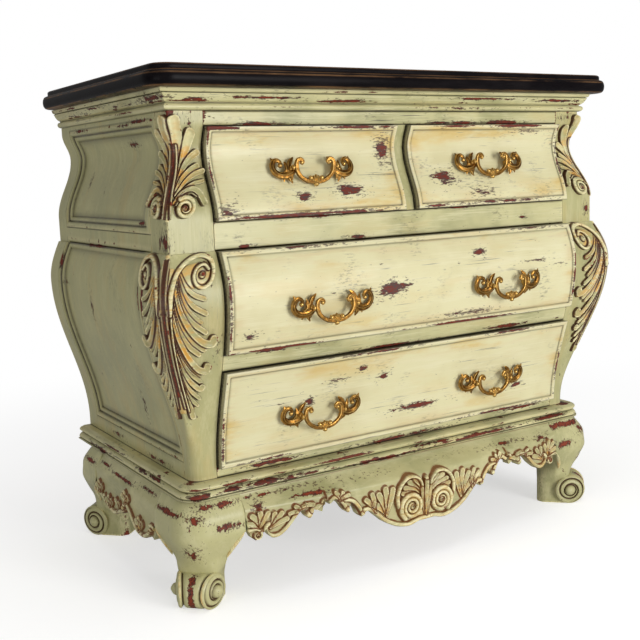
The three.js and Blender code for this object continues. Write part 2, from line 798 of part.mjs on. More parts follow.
// Relief of a leaf: a rib on the corner, ridged lobes, and a volute on each face.
function leafSurface(lobes, voluteShare, voluteReach, length) {
  return (across, t, width) => {
    const a = Math.abs(across);
    const rib = Math.max(0, 1 - a * 3);
    const lobe = (1 - a * a) * (0.55 + 0.45 * Math.cos(2 * Math.PI * lobes * (t + 0.12 * a)));
    const dx = a * width - voluteReach;
    const dz = (t - voluteShare) * length;
    const roll = Math.max(0, 1 - (dx * dx + dz * dz) / (leafVoluteRadius * leafVoluteRadius));
    return leafRelief * Math.max(rib, 0.7 * lobe) + leafVoluteRelief * Math.sqrt(roll);
  };
}

const upperLeafZ0 = middleRailTop + upperLeafMargin;
const upperLeafZ1 = friezeTop - upperLeafMargin;
const lowerLeafZ1 = middleRailBottom - lipFall;
const lowerLeafZ0 = lowerLeafZ1 - lowerLeafDrop;
const upperLeafWidthAt = (t) => upperLeafWidth
  * (0.72 + 0.28 * Math.sin(Math.PI * Math.min(1, 0.35 + t))) * (1 + 0.12 * Math.cos(2 * Math.PI * 5 * t));
const lowerLeafWidthAt = (t) => lowerLeafWidth
  * (0.1 + 0.9 * Math.sin((Math.PI / 2) * Math.min(1, 1.25 * t))) * (1 + 0.1 * Math.cos(2 * Math.PI * 6 * t));
for (const [name, side] of Object.entries(sideNames)) {
  const upperRelief = leafSurface(5, 0.11, upperLeafWidth * 0.6, upperLeafZ1 - upperLeafZ0);
  const lowerRelief = leafSurface(6, 0.9, lowerLeafWidth * 0.72, lowerLeafDrop);
  const upper = leaf(side, upperLeafZ0, upperLeafZ1, upperLeafWidthAt, upperRelief);
  const lower = leaf(side, lowerLeafZ0, lowerLeafZ1, lowerLeafWidthAt, lowerRelief);
  place(`${name}_upper_leaf`, upper, materials.carved);
  place(`${name}_lower_leaf`, lower, materials.carved);
}

// Drawer front: a raised bead round a field, following the bombe curve, with a flat back.
function drawerFront(x0, x1, z0, z1, back) {
  const field = beadWidth + beadStep;
  const columns = [x0, x0 + beadWidth, x0 + field, x1 - field, x1 - beadWidth, x1];
  const inner = levelsBetween(z0, z1).slice(1, -1)
    .filter((z) => z > z0 + field + beadStep && z < z1 - field - beadStep);
  const levels = [z0, z0 + beadWidth, z0 + field, ...inner, z1 - field, z1 - beadWidth, z1];
  const rings = levels.map((z, row) => {
    const inRow = row > 1 && row < levels.length - 2;
    const face = columns.map((x, i) => {
      const sunk = inRow && i > 1 && i < columns.length - 2 ? beadStep : 0;
      return new THREE.Vector2(x, frontY - faceBulge(z) - drawerProud + sunk);
    });
    return [z, [...face, new THREE.Vector2(x1, back), new THREE.Vector2(x0, back)]];
  });
  return stack(rings);
}

// Drawer box: two sides and a back behind the front, open at the top.
function drawerBox(x0, x1, z0, z1, y0, y1) {
  const outer = block(x0, x1, y0, y1, z0, z1);
  const [left, right, rear] = [x0 + boxThickness, x1 - boxThickness, y1 - boxThickness];
  return cut(outer, block(left, right, y0 - overrun, rear, z0 - overrun, z1 + overrun));
}

function drawer(name, x0, x1, row) {
  const z0 = row.z0 + revealGap;
  const z1 = row.z1 - revealGap;
  const least = Math.min(...levelsBetween(z0, z1).map(faceBulge));
  const back = frontY - least - drawerProud + frontMinimum;
  const boxBack = backPanelY - boxRearGap;
  const boxBottom = row.z0 + runnerGap;
  place(`${name}_drawer_front`, drawerFront(x0, x1, z0, z1, back), materials.cream);
  const box = drawerBox(x0, x1, boxBottom, row.z1 - boxHeadroom, back + seat, boxBack);
  place(`${name}_drawer_box`, box, materials.timber);
  const inside = boxThickness + seat;
  const low = boxBottom + drawerBottomRise;
  const top = low + drawerBottomThickness;
  const bottom = block(x0 + inside, x1 - inside, back + seat, boxBack - inside, low, top);
  place(`${name}_drawer_bottom`, bottom, materials.timber);
}
const innerEdge = partitionHalf + revealGap;
drawer("upper_left", -drawerHalf, -innerEdge, rows.upper);
drawer("upper_right", innerEdge, drawerHalf, rows.upper);
drawer("middle", -drawerHalf, drawerHalf, rows.middle);
drawer("bottom", -drawerHalf, drawerHalf, rows.bottom);

// Handle post in its own frame: x outwards from the bail's stem, y from the drawer face, z up.
// Each branch is a curve in shares of the spread, with radii in shares of the stem's.
const armShares = [
  [0.7, 0.24], [0.76, 0.37], [0.91, 0.39], [1, 0.22], [0.93, 0.02], [0.72, -0.11],
  [0.46, -0.15], [0.22, -0.07],
];
const armRadiusShares = [0.47, 0.6, 0.67, 0.8, 0.87, 1];
const tipShares = [[0.28, -0.11], [0.26, 0.15], [0.15, 0.33], [0.02, 0.5]];
const tipRadiusShares = [0.93, 0.73, 0.4];
const dropShares = [[0.3, -0.09], [0.2, -0.26], [0.06, -0.37]];
const dropRadiusShares = [0.8, 0.67, 0.33];

function branch(side, shares, radiusShares, standOff, steps) {
  const points = shares.map(([x, z]) => new THREE.Vector3(side * x * postSpread, -standOff, z * postSpread));
  const radii = radiusShares.map((share) => share * postStemRadius);
  return taperedTube(points, radii, 4, steps, 0.75);
}

function handlePost(side) {
  const arm = branch(side, armShares, armRadiusShares, armStandOff, 8);
  const tip = branch(side, tipShares, tipRadiusShares, tipStandOff, 3);
  const drop = branch(side, dropShares, dropRadiusShares, dropStandOff, 2);
  const bossLength = pivotReach - earRadius / 2 - seat;
  const boss = new THREE.CylinderGeometry(bossRadius, bossRadius, bossLength, 6);
  boss.translate(side * (earGap + bailRadius + earLength * 0.8), -seat - bossLength / 2, 0);
  const ear = new THREE.CylinderGeometry(earRadius, earRadius, earLength, 6).rotateZ(Math.PI / 2);
  const earX = side * (bailRadius + earGap + earLength / 2);
  ear.translate(earX, -pivotReach, 0);
  const bore = new THREE.CylinderGeometry(pinRadius + pinGap, pinRadius + pinGap, earLength, 6);
  bore.rotateZ(Math.PI / 2).translate(earX - side * (earGap + pinGap), -pivotReach, 0);
  return cut(join(arm, tip, drop, boss, ear), bore);
}

// Bail: a swinging loop with curled tops, a pin at each side and a shell clasp at the bottom.
const bailRadiusShares = [0.7, 0.85, 1, 1, 1, 0.85, 0.7];
function bail() {
  const half = pivotSpan / 2;
  const curl = bailCurlRadius;
  const left = [
    [-half + 2 * curl, curl * 0.5], [-half + 2.2 * curl, curl * 1.6], [-half + curl, curl * 2.2],
    [-half, curl], [-half, -curl], [-half * 0.82, -bailDrop * 0.62], [-half * 0.45, -bailDrop * 0.93],
  ];
  const points = [...left, [0, -bailDrop], ...left.map(([x, z]) => [-x, z]).reverse()]
    .map(([x, z]) => new THREE.Vector3(x, 0, z));
  const radii = bailRadiusShares.map((share) => share * bailRadius);
  const loop = taperedTube(points, radii, 5, 14);
  const pins = [-1, 1].map((side) => {
    const pin = new THREE.CylinderGeometry(pinRadius, pinRadius, pinLength, 6).rotateZ(Math.PI / 2);
    return pin.translate(side * (half + pinLength / 2), 0, 0);
  });
  const clasp = new THREE.SphereGeometry(0.5, 6, 4);
  clasp.scale(claspWidth, claspDepth, claspHeight).translate(0, 0, -bailDrop * 0.86);
  return join(loop, ...pins, clasp);
}

const handleX = handleOffsetShare * openingHalf;
function handle(name, x, pivotZ) {
  const turn = faceTurn(pivotZ);
  const faceY = frontY - faceBulge(pivotZ) - drawerProud + beadStep;
  for (const [sideName, side] of Object.entries(sideNames)) {
    const group = new THREE.Group();
    group.position.set(x + (side * pivotSpan) / 2, faceY, pivotZ);
    group.rotation.x = turn;
    chest.add(group);
    place(`${name}_handle_${sideName}_post`, handlePost(side), materials.brass, group);
  }
  const swing = place(`${name}_handle_bail`, bail(), materials.brass);
  swing.position.set(x, faceY - pivotReach * Math.cos(turn), pivotZ - pivotReach * Math.sin(turn));
}
handle("upper_left", -handleX, upperPivotZ);
handle("upper_right", handleX, upperPivotZ);
handle("middle_left", -handleX, middlePivotZ);
handle("middle_right", handleX, middlePivotZ);
handle("bottom_left", -handleX, bottomPivotZ);
handle("bottom_right", handleX, bottomPivotZ);

export default chest;
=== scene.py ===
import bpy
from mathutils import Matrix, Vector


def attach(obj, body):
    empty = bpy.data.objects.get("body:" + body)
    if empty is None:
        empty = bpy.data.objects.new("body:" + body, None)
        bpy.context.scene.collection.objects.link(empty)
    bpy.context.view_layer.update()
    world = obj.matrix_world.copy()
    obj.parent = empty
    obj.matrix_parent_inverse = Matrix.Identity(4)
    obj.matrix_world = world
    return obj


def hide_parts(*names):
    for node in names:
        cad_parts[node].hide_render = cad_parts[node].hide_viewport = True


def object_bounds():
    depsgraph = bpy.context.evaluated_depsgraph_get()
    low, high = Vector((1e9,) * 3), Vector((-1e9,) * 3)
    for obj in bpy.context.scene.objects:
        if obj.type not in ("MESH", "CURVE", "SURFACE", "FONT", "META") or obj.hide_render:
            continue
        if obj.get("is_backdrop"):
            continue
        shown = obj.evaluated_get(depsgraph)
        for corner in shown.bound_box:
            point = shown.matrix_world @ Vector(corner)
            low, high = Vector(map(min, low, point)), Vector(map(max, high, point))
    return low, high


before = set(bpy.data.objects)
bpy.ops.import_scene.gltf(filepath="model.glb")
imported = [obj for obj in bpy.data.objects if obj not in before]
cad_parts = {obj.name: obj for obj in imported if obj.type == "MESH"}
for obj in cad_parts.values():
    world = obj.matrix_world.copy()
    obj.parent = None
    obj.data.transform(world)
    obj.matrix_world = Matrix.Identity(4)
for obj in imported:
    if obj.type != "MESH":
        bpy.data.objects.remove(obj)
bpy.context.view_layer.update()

# %% [markdown]
# # A painted bombe chest of drawers
#
# The real chest is a swelling ("bombe") carcass with two short and two long drawers, a dark
# rubbed top, carved leaves on the front corners, a scrolled apron and scroll feet. Its paint is
# sage green with cream drawer fronts, glazed in the hollows and worn through to red-brown.
#
# Every piece below is a surface worked out with numpy: a grid of points from a short formula.
# The numbers are millimetres, in the frame of the solids, and become metres in one place.

# %% Libraries and the unit
import math
from functools import reduce

import bpy
import numpy as np

MM = 0.001
TURN = 2 * np.pi

# %% [markdown]
# ## The bombe curve
#
# One curve gives the chest its shape: how far the front and the sides stand out from the plane
# of the middle rail, at each height. It could be drawn by hand as a spline, but half cosine
# waves meet smoothly and repeat the carcass solids exactly, so panels, drawers and carvings all
# read the same function.

# %% Sizes shared by the pieces, and the curve
# Half the width at the middle rail and the planes of the front and the back, then the back of the
# posts and half the drawers' opening, then heights: carcass from and to, the aprons' top, and
# where the curve changes.
HALF, FRONT, BACK = 504.0, -253.7, 318.3
POST_BACK, OPENING = -183.7, 418.0
BOTTOM, TOP, APRON_TOP = 228.3, 878.0, 199.7
SIDES = {"left": -1, "right": 1}
WAIST_Z, BELLY_Z, LIP_Z, RAIL_Z, COVE_Z, COVE_TOP = 245.0, 560.0, 640.0, 690.0, 812.0, 864.0


def wave(value, low, high, a, b):
    """Half a cosine wave from a to b while the value goes from low to high."""
    t = np.clip((value - low) / (high - low), 0, 1)
    return a + (b - a) * (1 - np.cos(np.pi * t)) / 2


def hump(distance, width):
    """A bell curve: 1 at no distance, exp(-1) at the width."""
    return np.exp(-((distance / width) ** 2))


def bulge(z):
    """Outward reach at height z: a wave out to the belly, a quarter wave back in to the lip,
    a plain rail, a wave into the cove and a short wave out to the frieze."""
    z = np.asarray(z, float)
    shoulder = 3 + 24 * np.cos(np.clip((z - BELLY_Z) / (LIP_Z + 2 - BELLY_Z), 0, 1) * np.pi / 2)
    return np.select(
        [z >= COVE_Z, z >= RAIL_Z, z > LIP_Z, z >= BELLY_Z],
        [wave(z, COVE_Z, COVE_TOP, -35, -20), wave(z, RAIL_Z, COVE_Z, 0, -35), 0 * z, shoulder],
        wave(z, WAIST_Z, BELLY_Z, -37, 27),
    )


def front_y(z, proud=0):
    """y of the front's curve at height z, or of a face that stands proud of it."""
    return FRONT - float(bulge(z)) - proud


print("belly", bulge(BELLY_Z), "waist", bulge(WAIST_Z), "cove", bulge(COVE_Z))

# %% [markdown]
# ## From grids to meshes
#
# Most pieces are rings of points that follow one another, like the ribs of a boat. A skin of
# four-sided faces joins the rings and a fan closes each end, so the mesh is watertight. The
# builder also measures how sharply the finished surface bends at each point. That number goes
# into a "finish" attribute. The paint uses it for worn edges, which also carry a painted
# highlight, and for glazed hollows, which also carry painted shade.


# %% Smooth lines and closed skins
def curve(points, count):
    """Catmull-Rom line: each span is a cubic from its four nearest points."""
    p = np.asarray(points, float)
    p = np.vstack([2 * p[0] - p[1], p, 2 * p[-1] - p[-2]])
    s = np.linspace(0, len(p) - 3 - 1e-9, count)
    i = s.astype(int)
    t = (s - i)[:, None]
    a, b, c, d = p[i], p[i + 1], p[i + 2], p[i + 3]
    bent, turned = 2 * a - 5 * b + 4 * c - d, 3 * b - a - 3 * c + d
    return 0.5 * (2 * b + (c - a) * t + bent * t**2 + turned * t**3)


def grid(x, y, z):
    """Points of three arrays that fit one another's shape."""
    return np.stack(np.broadcast_arrays(x, y, z), -1).astype(float)


def skin(rings, marks=0.0):
    """Closed skin through rings of points, with a fan at each end. marks are added to the finish
    of each point: glaze and painted shade in hollows, rubbed edges and painted highlights, worn
    spots and gilding, 0 to 1."""
    rows, columns = rings.shape[:2]
    index = np.arange(rows * columns).reshape(rows, columns)
    after = np.roll(index, -1, 1)
    quads = np.stack([index[:-1], after[:-1], after[1:], index[1:]], -1).reshape(-1, 4)
    tips = np.full((2, columns), rows * columns) + np.array([[0], [1]])
    ends = [(after[0], index[0], tips[0]), (index[-1], after[-1], tips[1])]
    fans = np.vstack([np.stack(end, -1) for end in ends])
    points = np.vstack([rings.reshape(-1, 3), rings[0].mean(0), rings[-1].mean(0)])
    finish = np.broadcast_to(marks, (rows, columns, 4)).reshape(-1, 4)
    finish = np.vstack([finish, finish[0], finish[-1]])
    a, b, c = points[fans].transpose(1, 0, 2)
    p, q, r, s = points[quads].transpose(1, 0, 2)
    in_fans = np.einsum("ij,ij", a, np.cross(b, c))
    in_quads = np.einsum("ij,ij", p, np.cross(q, r) + np.cross(r, s))
    if in_fans + in_quads < 0:
        quads, fans = quads[:, ::-1], fans[:, ::-1]
    return points, quads, fans, finish


def marks(shape, glaze_and_shade=0.0, edge=0.0, spot=0.0, gilt=0.0):
    """The four finish values of a grid of points, each a number or an array that fits it."""
    return np.stack([np.broadcast_to(v, shape) for v in (glaze_and_shade, edge, spot, gilt)], -1).astype(float)


# %% The builder of every piece
def add(name, data):
    """A new object in the scene."""
    made = bpy.data.objects.new(name, data)
    bpy.context.scene.collection.objects.link(made)
    return made


def bends(mesh, points):
    """How sharply each point stands out of (+) or lies in (-) its neighbours' mean, in units of
    the spacing between them, evened out over the neighbours."""
    count = len(points)
    ends = np.zeros(len(mesh.edges) * 2, int)
    mesh.edges.foreach_get("vertices", ends)
    a, b = ends.reshape(-1, 2).T
    near = np.bincount(a, minlength=count) + np.bincount(b, minlength=count)

    def around(v):
        return (np.bincount(a, v[b], count) + np.bincount(b, v[a], count)) / np.maximum(near, 1)

    normal = np.zeros(count * 3)
    mesh.vertex_normals.foreach_get("vector", normal)
    mean = np.stack([around(points[:, k]) for k in range(3)], -1)
    length = np.linalg.norm(points[a] - points[b], axis=1)
    spacing = (np.bincount(a, length, count) + np.bincount(b, length, count)) / np.maximum(near, 1)
    bend = np.einsum("ij,ij->i", normal.reshape(-1, 3), points - mean) / np.maximum(spacing, 1e-6)
    return 0.5 * bend + 0.5 * around(bend)


def build(name, skins, material, replaced, body="carcass", spots=(), sharp=42, gain=5.0, ease=0.12):
    """One object from closed skins, in place of one solid. Its finish holds four values: glaze with
    painted shade, rubbed edge with painted highlight, worn spot and gilding. The first two come
    from how sharply the surface bends beyond ease, the third from the spots, and all of them from
    the marks of the skins."""
    shift = np.cumsum([0] + [len(s[0]) for s in skins])
    points = np.vstack([s[0] for s in skins])
    quads, fans = (np.vstack([s[k] + n for s, n in zip(skins, shift)]) for k in (1, 2))
    corners = np.concatenate([quads.ravel(), fans.ravel()])
    sizes = np.concatenate([np.full(len(quads), 4), np.full(len(fans), 3)])
    mesh = bpy.data.meshes.new(name)
    mesh.vertices.add(len(points))
    mesh.vertices.foreach_set("co", (points * MM).astype(np.float32).ravel())
    mesh.loops.add(len(corners))
    mesh.loops.foreach_set("vertex_index", corners.astype(np.int32))
    mesh.polygons.add(len(sizes))
    mesh.polygons.foreach_set("loop_start", (np.cumsum(sizes) - sizes).astype(np.int32))
    mesh.update(calc_edges=True)
    bend = bends(mesh, points)
    # Hollows get glaze and painted shade, and raised edges get rubbed wear and a painted highlight.
    measured = [gain * (-bend - ease), gain * (bend - ease), worn(points, spots), 0 * bend]
    given = np.vstack([s[3] for s in skins])
    finish = np.clip(np.clip(np.stack(measured, -1), 0, 1) + given, 0, 1)
    layer = mesh.color_attributes.new("finish", "FLOAT_COLOR", "POINT")
    layer.data.foreach_set("color", finish.astype(np.float32).ravel())
    mesh.shade_smooth()
    mesh.set_sharp_from_angle(angle=math.radians(sharp))
    mesh.materials.append(material)
    piece = add(name, mesh)
    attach(piece, body)
    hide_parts(*replaced)
    print(f"{name}: {len(quads) * 2 + len(fans)} triangles")


def worn(points, spots):
    """Worn-through spots: a soft ellipsoid, exp(-distance^2), for each six numbers, which are its
    centre and its radii."""
    total = np.zeros(len(points))
    for spot in spots:
        centre, radii = np.reshape(spot, (2, 3))
        total = np.maximum(total, np.exp(-(((points - centre) / radii) ** 2).sum(1)))
    return total


def on_front(x, z, rx, rz, proud=0, thick=12):
    """A worn spot at (x, z) on the bombe front, or on a face that stands proud of its curve."""
    return (x, front_y(z, proud), z, rx, thick, rz)


# %% [markdown]
# ## Carving by strokes
#
# A carver cuts leaves with a few tools: a gouge that leaves a hollow flute with a raised rim, a
# flat pad, a bead, a ball and a scroll. Here each tool is a height over a flat pattern (u along
# the face, v up), drawn along a smooth line, and the highest stroke wins. Sculpting by hand
# would also do, but strokes can be measured, mirrored and moved onto the curved chest later.


# %% Distance to a line, and the strokes
def nearest(u, v, path):
    """Distance from each place to a line and the share of its length there: the foot of the
    perpendicular on each straight span, held between the span's ends."""
    gap, share = np.full(u.shape, 1e9), np.zeros(u.shape)
    for i, (a, b) in enumerate(zip(path[:-1], path[1:])):
        d = b - a
        t = np.clip(((u - a[0]) * d[0] + (v - a[1]) * d[1]) / max(d @ d, 1e-9), 0, 1)
        far = np.hypot(u - a[0] - t * d[0], v - a[1] - t * d[1])
        closer = far < gap
        gap, share = np.where(closer, far, gap), np.where(closer, (i + t) / (len(path) - 1), share)
    return gap, share


def profile(tool, q, share):
    """Cross-section of a tool at q, the distance over the half width, and the length's share.
    spoon: a broad hollow 0.5 + 0.5 (q/0.8)^2 between raised rims, higher towards its tip.
    pad: 1 - q^4. Other tools: a round sqrt(1 - q^2)."""
    wall = np.clip((1 - q) / 0.2, 0, 1)
    if tool == "spoon":
        return (0.6 + 0.4 * share) * (0.5 + 0.5 * np.clip(q / 0.8, 0, 1) ** 2) * np.sqrt(wall)
    if tool == "pad":
        return np.clip(1 - q**4, 0, 1)
    return np.sqrt(np.clip(1 - q * q, 0, 1))


def carve(u, v, strokes, cut=1.7):
    """Height, cut lines and roots of a carving. A stroke is (tool, points, half width, height) and
    lies over the earlier ones: it lifts them to its profile and cuts a line, 1 - |gap - half
    width| / cut, round its border. A spoon widens from 0.4 of its half width at the root."""
    height, line, root = np.zeros(u.shape), np.zeros(u.shape), np.zeros(u.shape)
    for tool, points, width, lift in strokes:
        path = curve(points, 7 * len(points)) if len(points) > 1 else np.asarray(points * 2, float)
        low, high = path.min(0) - width - cut, path.max(0) + width + cut
        near = (u > low[0]) & (u < high[0]) & (v > low[1]) & (v < high[1])
        if not near.any():
            continue
        gap, share = nearest(u[near], v[near], path)
        swell = 0.4 + 0.6 * np.sin(np.clip(1.2 * share, 0, 1) * np.pi / 2)
        half = width * {"spoon": swell, "scroll": 1 - 0.4 * share}.get(tool, np.ones_like(gap))
        raised = lift * profile(tool, gap / half, share)
        border = 0 if tool == "pad" else np.clip(1 - np.abs(gap - half) / cut, 0, 1)
        wins = raised > height[near]
        line[near] = np.maximum(np.where(wins, 0, line[near]), border)
        rooted = np.clip(1.1 - 1.5 * share, 0, 1) if tool == "spoon" else 0.3
        root[near] = np.where(wins, rooted, root[near])
        height[near] = np.maximum(height[near], raised) - 1.5 * border
    return height, line, root


def blur(field, cells):
    """Mean over a square of 2 cells + 1 points, from running sums along each way."""
    wide = 2 * cells + 1
    for axis in (0, 1):
        edges = [(cells + 1, cells) if a == axis else (0, 0) for a in (0, 1)]
        total = np.cumsum(np.pad(field, edges, mode="edge"), axis)
        ahead, behind = np.split(total, [wide], axis)[1], np.split(total, [-wide], axis)[0]
        field = (ahead - behind) / wide
    return field


def carving_marks(carving, spot=0.0):
    """Finish of a carving: glaze and painted shade in its cut lines and a little in its hollows,
    rubbed edges with a painted highlight where it stands above its surroundings' mean, and gilding
    wherever it is carved, most at the roots."""
    height, line, root = carving
    sunk = blur(height, 3) - height
    glaze_and_shade = np.clip(1.9 * line + 0.25 * np.clip(sunk / 1.5, 0, 1), 0, 1)
    beside = np.clip(1.8 * blur(line, 2), 0, 1)
    gilt = np.clip(height / 1.5, 0, 1) * (0.45 + 0.55 * np.maximum(root, 0.45 * beside))
    return marks(height.shape, glaze_and_shade, np.clip(-sunk / 1.2 - 0.1, 0, 1), spot, gilt)


def spoons(*strokes):
    """Strokes that share the spoon, each (points, half width, height)."""
    return [("spoon", *stroke) for stroke in strokes]


def fan(root, tips, width, lean=0):
    """Spoon strokes from one root to several tips, each through a bent midpoint."""
    middle = [((root[0] + u) / 2 - lean, (root[1] + v) / 2 + 2) for u, v in tips]
    return [("spoon", [root, m, tip], width, 6.5) for m, tip in zip(middle, tips)]


def spiral(centre, radius, turns, start, hand):
    """Points of a spiral that runs inwards from radius to a fifth of it."""
    t = np.linspace(0, 1, int(12 * turns))
    angle = start + hand * TURN * turns * t
    r = radius * (1 - 0.8 * t)
    return [(centre[0] + a * math.cos(b), centre[1] + a * math.sin(b)) for a, b in zip(r, angle)]


# %% [markdown]
# ## Paint
#
# The finish was built up by hand: a coat of sage or cream, a lighter dry brush dragged along
# the grain, a brown glaze wiped into the hollows, gilt touches on the carving, and chips down
# to a red-brown ground. One node group lays these coats in the same order from noise and from
# the finish attribute. With them it paints shade into hollows, creases and gaps, and highlights
# onto raised edges. Each paint places it with its own colours and its own grain direction.


# %% Small helpers for colours and nodes
def colour(red, green, blue):
    """A screen colour, 0 to 255, as the linear light that shaders use."""
    c = np.array([red, green, blue]) / 255
    return (*np.where(c < 0.04045, c / 12.92, ((c + 0.055) / 1.055) ** 2.4).tolist(), 1.0)


def node(tree, kind, sockets=(), **settings):
    """A node with its settings and its sockets, each fed by a value or by another socket."""
    made = tree.nodes.new(kind)
    for key, value in settings.items():
        setattr(made, key, value)
    for key, value in dict(sockets).items():
        if isinstance(value, bpy.types.NodeSocket):
            tree.links.new(value, made.inputs[key])
        else:
            made.inputs[key].default_value = value
    return made


def noise(tree, place, scale, detail=4.0, rough=0.55, warp=0.0):
    made = node(tree, "ShaderNodeTexNoise", {
        "Vector": place, "Scale": scale, "Detail": detail, "Roughness": rough, "Distortion": warp,
    })
    return made.outputs["Fac"]


def maths(tree, operation, a, b=0.0):
    return node(tree, "ShaderNodeMath", {0: a, 1: b}, operation=operation).outputs[0]


def span(tree, value, low, high, a=0.0, b=1.0):
    """A smooth step: a below low, b above high."""
    ends = {"Value": value, "From Min": low, "From Max": high, "To Min": a, "To Max": b}
    return node(tree, "ShaderNodeMapRange", ends, interpolation_type="SMOOTHSTEP").outputs["Result"]


def coat(tree, under, over, cover):
    """The colour under, covered by the colour over where cover is 1. Sockets 6 and 7 of the mix
    are its two colours."""
    return node(tree, "ShaderNodeMix", {0: cover, 6: under, 7: over}, data_type="RGBA").outputs[2]


def group(name, inputs, outputs):
    """An empty node group with named sockets, its input node and its output node."""
    tree = bpy.data.node_groups.new(name, "ShaderNodeTree")
    for label, kind in inputs.items():
        tree.interface.new_socket(label, in_out="INPUT", socket_type="NodeSocket" + kind)
    for label, kind in outputs.items():
        tree.interface.new_socket(label, in_out="OUTPUT", socket_type="NodeSocket" + kind)
    return tree, tree.nodes.new("NodeGroupInput").outputs, tree.nodes.new("NodeGroupOutput").inputs


# %% The layered paint
COLOURS = ["Paint", "Shade", "Brush", "Wash", "Gilt", "Glaze", "Edge", "Ground", "Dark", "Scratch"]
AMOUNTS = ["Brushing", "Washing", "Gilding", "Glazing", "Edging", "Chipping", "Scratching"]


def layered_paint():
    """Coats in order: tone, dry brush, ochre wash, gilt, rubbed edges with a painted highlight,
    glaze with painted shade in hollows, scratches and grey smudges, specks, and chips down to the
    ground colour."""
    tree, given, out = group(
        "layered_paint",
        {"Place": "Vector", "Stretch": "Vector", "Finish": "Color", "Carved": "Float",
         **{c: "Color" for c in COLOURS}, **{a: "Float" for a in AMOUNTS}},
        {"Color": "Color", "Roughness": "Float", "Height": "Float"},
    )

    def vector(operation, *inputs):
        return node(tree, "ShaderNodeVectorMath", dict(enumerate(inputs)), operation=operation).outputs[0]

    def times(*values):
        return reduce(lambda a, b: maths(tree, "MULTIPLY", a, b), values)

    def plus(*values):
        return reduce(lambda a, b: maths(tree, "ADD", a, b), values)

    def least(a, b):
        return maths(tree, "MINIMUM", a, b)

    place, stretch = given["Place"], given["Stretch"]
    grain = vector("MULTIPLY", place, stretch)
    flaky = vector("MULTIPLY", place, vector("MULTIPLY_ADD", stretch, (0.82,) * 3, (0.18,) * 3))
    hair = vector("MULTIPLY", place, vector("MULTIPLY", stretch, stretch))
    finish = node(tree, "ShaderNodeSeparateColor", {"Color": given["Finish"]}).outputs
    # The finish's red is glaze and painted shade, and its green is rubbed wear and a painted highlight.
    hollow_glaze_and_shade, edge, spot, carved_here = finish["Red"], finish["Green"], finish["Blue"], given["Carved"]

    patch = noise(tree, place, 7.0, 3.0)
    drag, hairs = noise(tree, grain, 60.0, 6.0, 0.62), noise(tree, hair, 420.0, 3.0, 0.6)
    flake, grit = noise(tree, flaky, 70.0, 8.0, 0.72), noise(tree, flaky, 300.0, 4.0, 0.65)
    strokes = span(tree, plus(times(drag, 0.6), times(hairs, 0.4)), 0.46, 0.62)
    wash = times(span(tree, noise(tree, flaky, 16.0, 5.0, 0.62), 0.5, 0.68), given["Washing"])
    # Rubbed wear with a painted highlight on raised edges, then glaze with painted shade in hollows.
    rubbed_and_highlit = times(edge, given["Edging"], span(tree, hairs, 0.3, 0.6))
    sunk = times(hollow_glaze_and_shade, times(given["Glazing"], span(tree, hairs, 0.25, 0.6, 0.7, 1.15)))
    scratch = times(span(tree, hairs, 0.6, 0.68), span(tree, noise(tree, flaky, 22.0, 3.0), 0.52, 0.64))
    smudge = times(span(tree, noise(tree, place, 13.0, 3.0), 0.56, 0.68), span(tree, grit, 0.5, 0.62))
    around = maths(tree, "POWER", spot, 0.45)
    covers = {
        "Shade": span(tree, patch, 0.4, 0.66),
        "Brush": times(strokes, given["Brushing"]),
        "Wash": least(plus(times(wash, 0.35), times(wash, carved_here)), 1.0),
        "Gilt": times(carved_here, carved_here, given["Gilding"], span(tree, drag, 0.4, 0.64)),
        "Edge": least(rubbed_and_highlit, 0.9),
        "Glaze": least(sunk, 0.96),
        "Scratch": times(maths(tree, "MAXIMUM", scratch, times(smudge, 0.6)), given["Scratching"]),
        "Dark": times(span(tree, plus(grit, times(around, 0.24)), 0.68, 0.73), 0.75),
    }
    tone = given["Paint"]
    for label, cover in covers.items():
        tone = coat(tree, tone, given[label], cover)

    runs = times(edge, span(tree, noise(tree, grain, 24.0, 4.0), 0.46, 0.58))
    broken = plus(times(flake, 1.6), -0.3, times(carved_here, -0.12))
    level = plus(broken, times(spot, 0.5), times(runs, 0.3), plus(given["Chipping"], times(grit, 0.22)))
    chip = span(tree, level, 0.89, 0.915)
    deep = times(span(tree, level, 0.91, 1.02), span(tree, grit, 0.62, 0.44))
    bared = coat(tree, given["Dark"], given["Ground"], maths(tree, "MAXIMUM", deep, times(runs, 0.8)))
    rough = plus(span(tree, drag, 0.3, 0.7, 0.28, 0.42), times(chip, 0.3))
    height = maths(tree, "SUBTRACT", times(plus(drag, hairs), 0.3), chip)
    for value, socket in ((coat(tree, tone, bared, chip), "Color"), (rough, "Roughness"), (height, "Height")):
        tree.links.new(value, out[socket])
    return tree


PAINT_GROUP = layered_paint()
print(len(PAINT_GROUP.nodes), "nodes in the layered paint")


# %% The paints
def surface(name, rough=0.5, metallic=0.0, specular=0.5, coated=0.0):
    """A new material with its Principled shader, whose plain values are set on it directly."""
    material = bpy.data.materials.new(name)
    material.use_nodes = True
    shader = material.node_tree.nodes["Principled BSDF"]
    plain = {"Roughness": rough, "Metallic": metallic, "Specular IOR Level": specular,
             "Coat Weight": coated, "Coat Roughness": 0.3}
    for socket, value in plain.items():
        shader.inputs[socket].default_value = value
    return material, material.node_tree, shader


def readings(tree):
    """The object's own coordinates, and the finish attribute's colour and alpha."""
    finish = node(tree, "ShaderNodeAttribute", attribute_name="finish").outputs
    return node(tree, "ShaderNodeTexCoord").outputs["Object"], finish["Color"], finish["Alpha"]


def join(tree, shader, tone, rough, height, strength, depth):
    """Feeds a shader with a colour, a roughness and the bump of a height, depth in metres."""
    bump = node(tree, "ShaderNodeBump", {"Strength": strength, "Distance": depth, "Height": height})
    feeds = {"Base Color": tone, "Roughness": rough, "Normal": bump.outputs["Normal"]}
    for socket, value in feeds.items():
        tree.links.new(value, shader.inputs[socket])


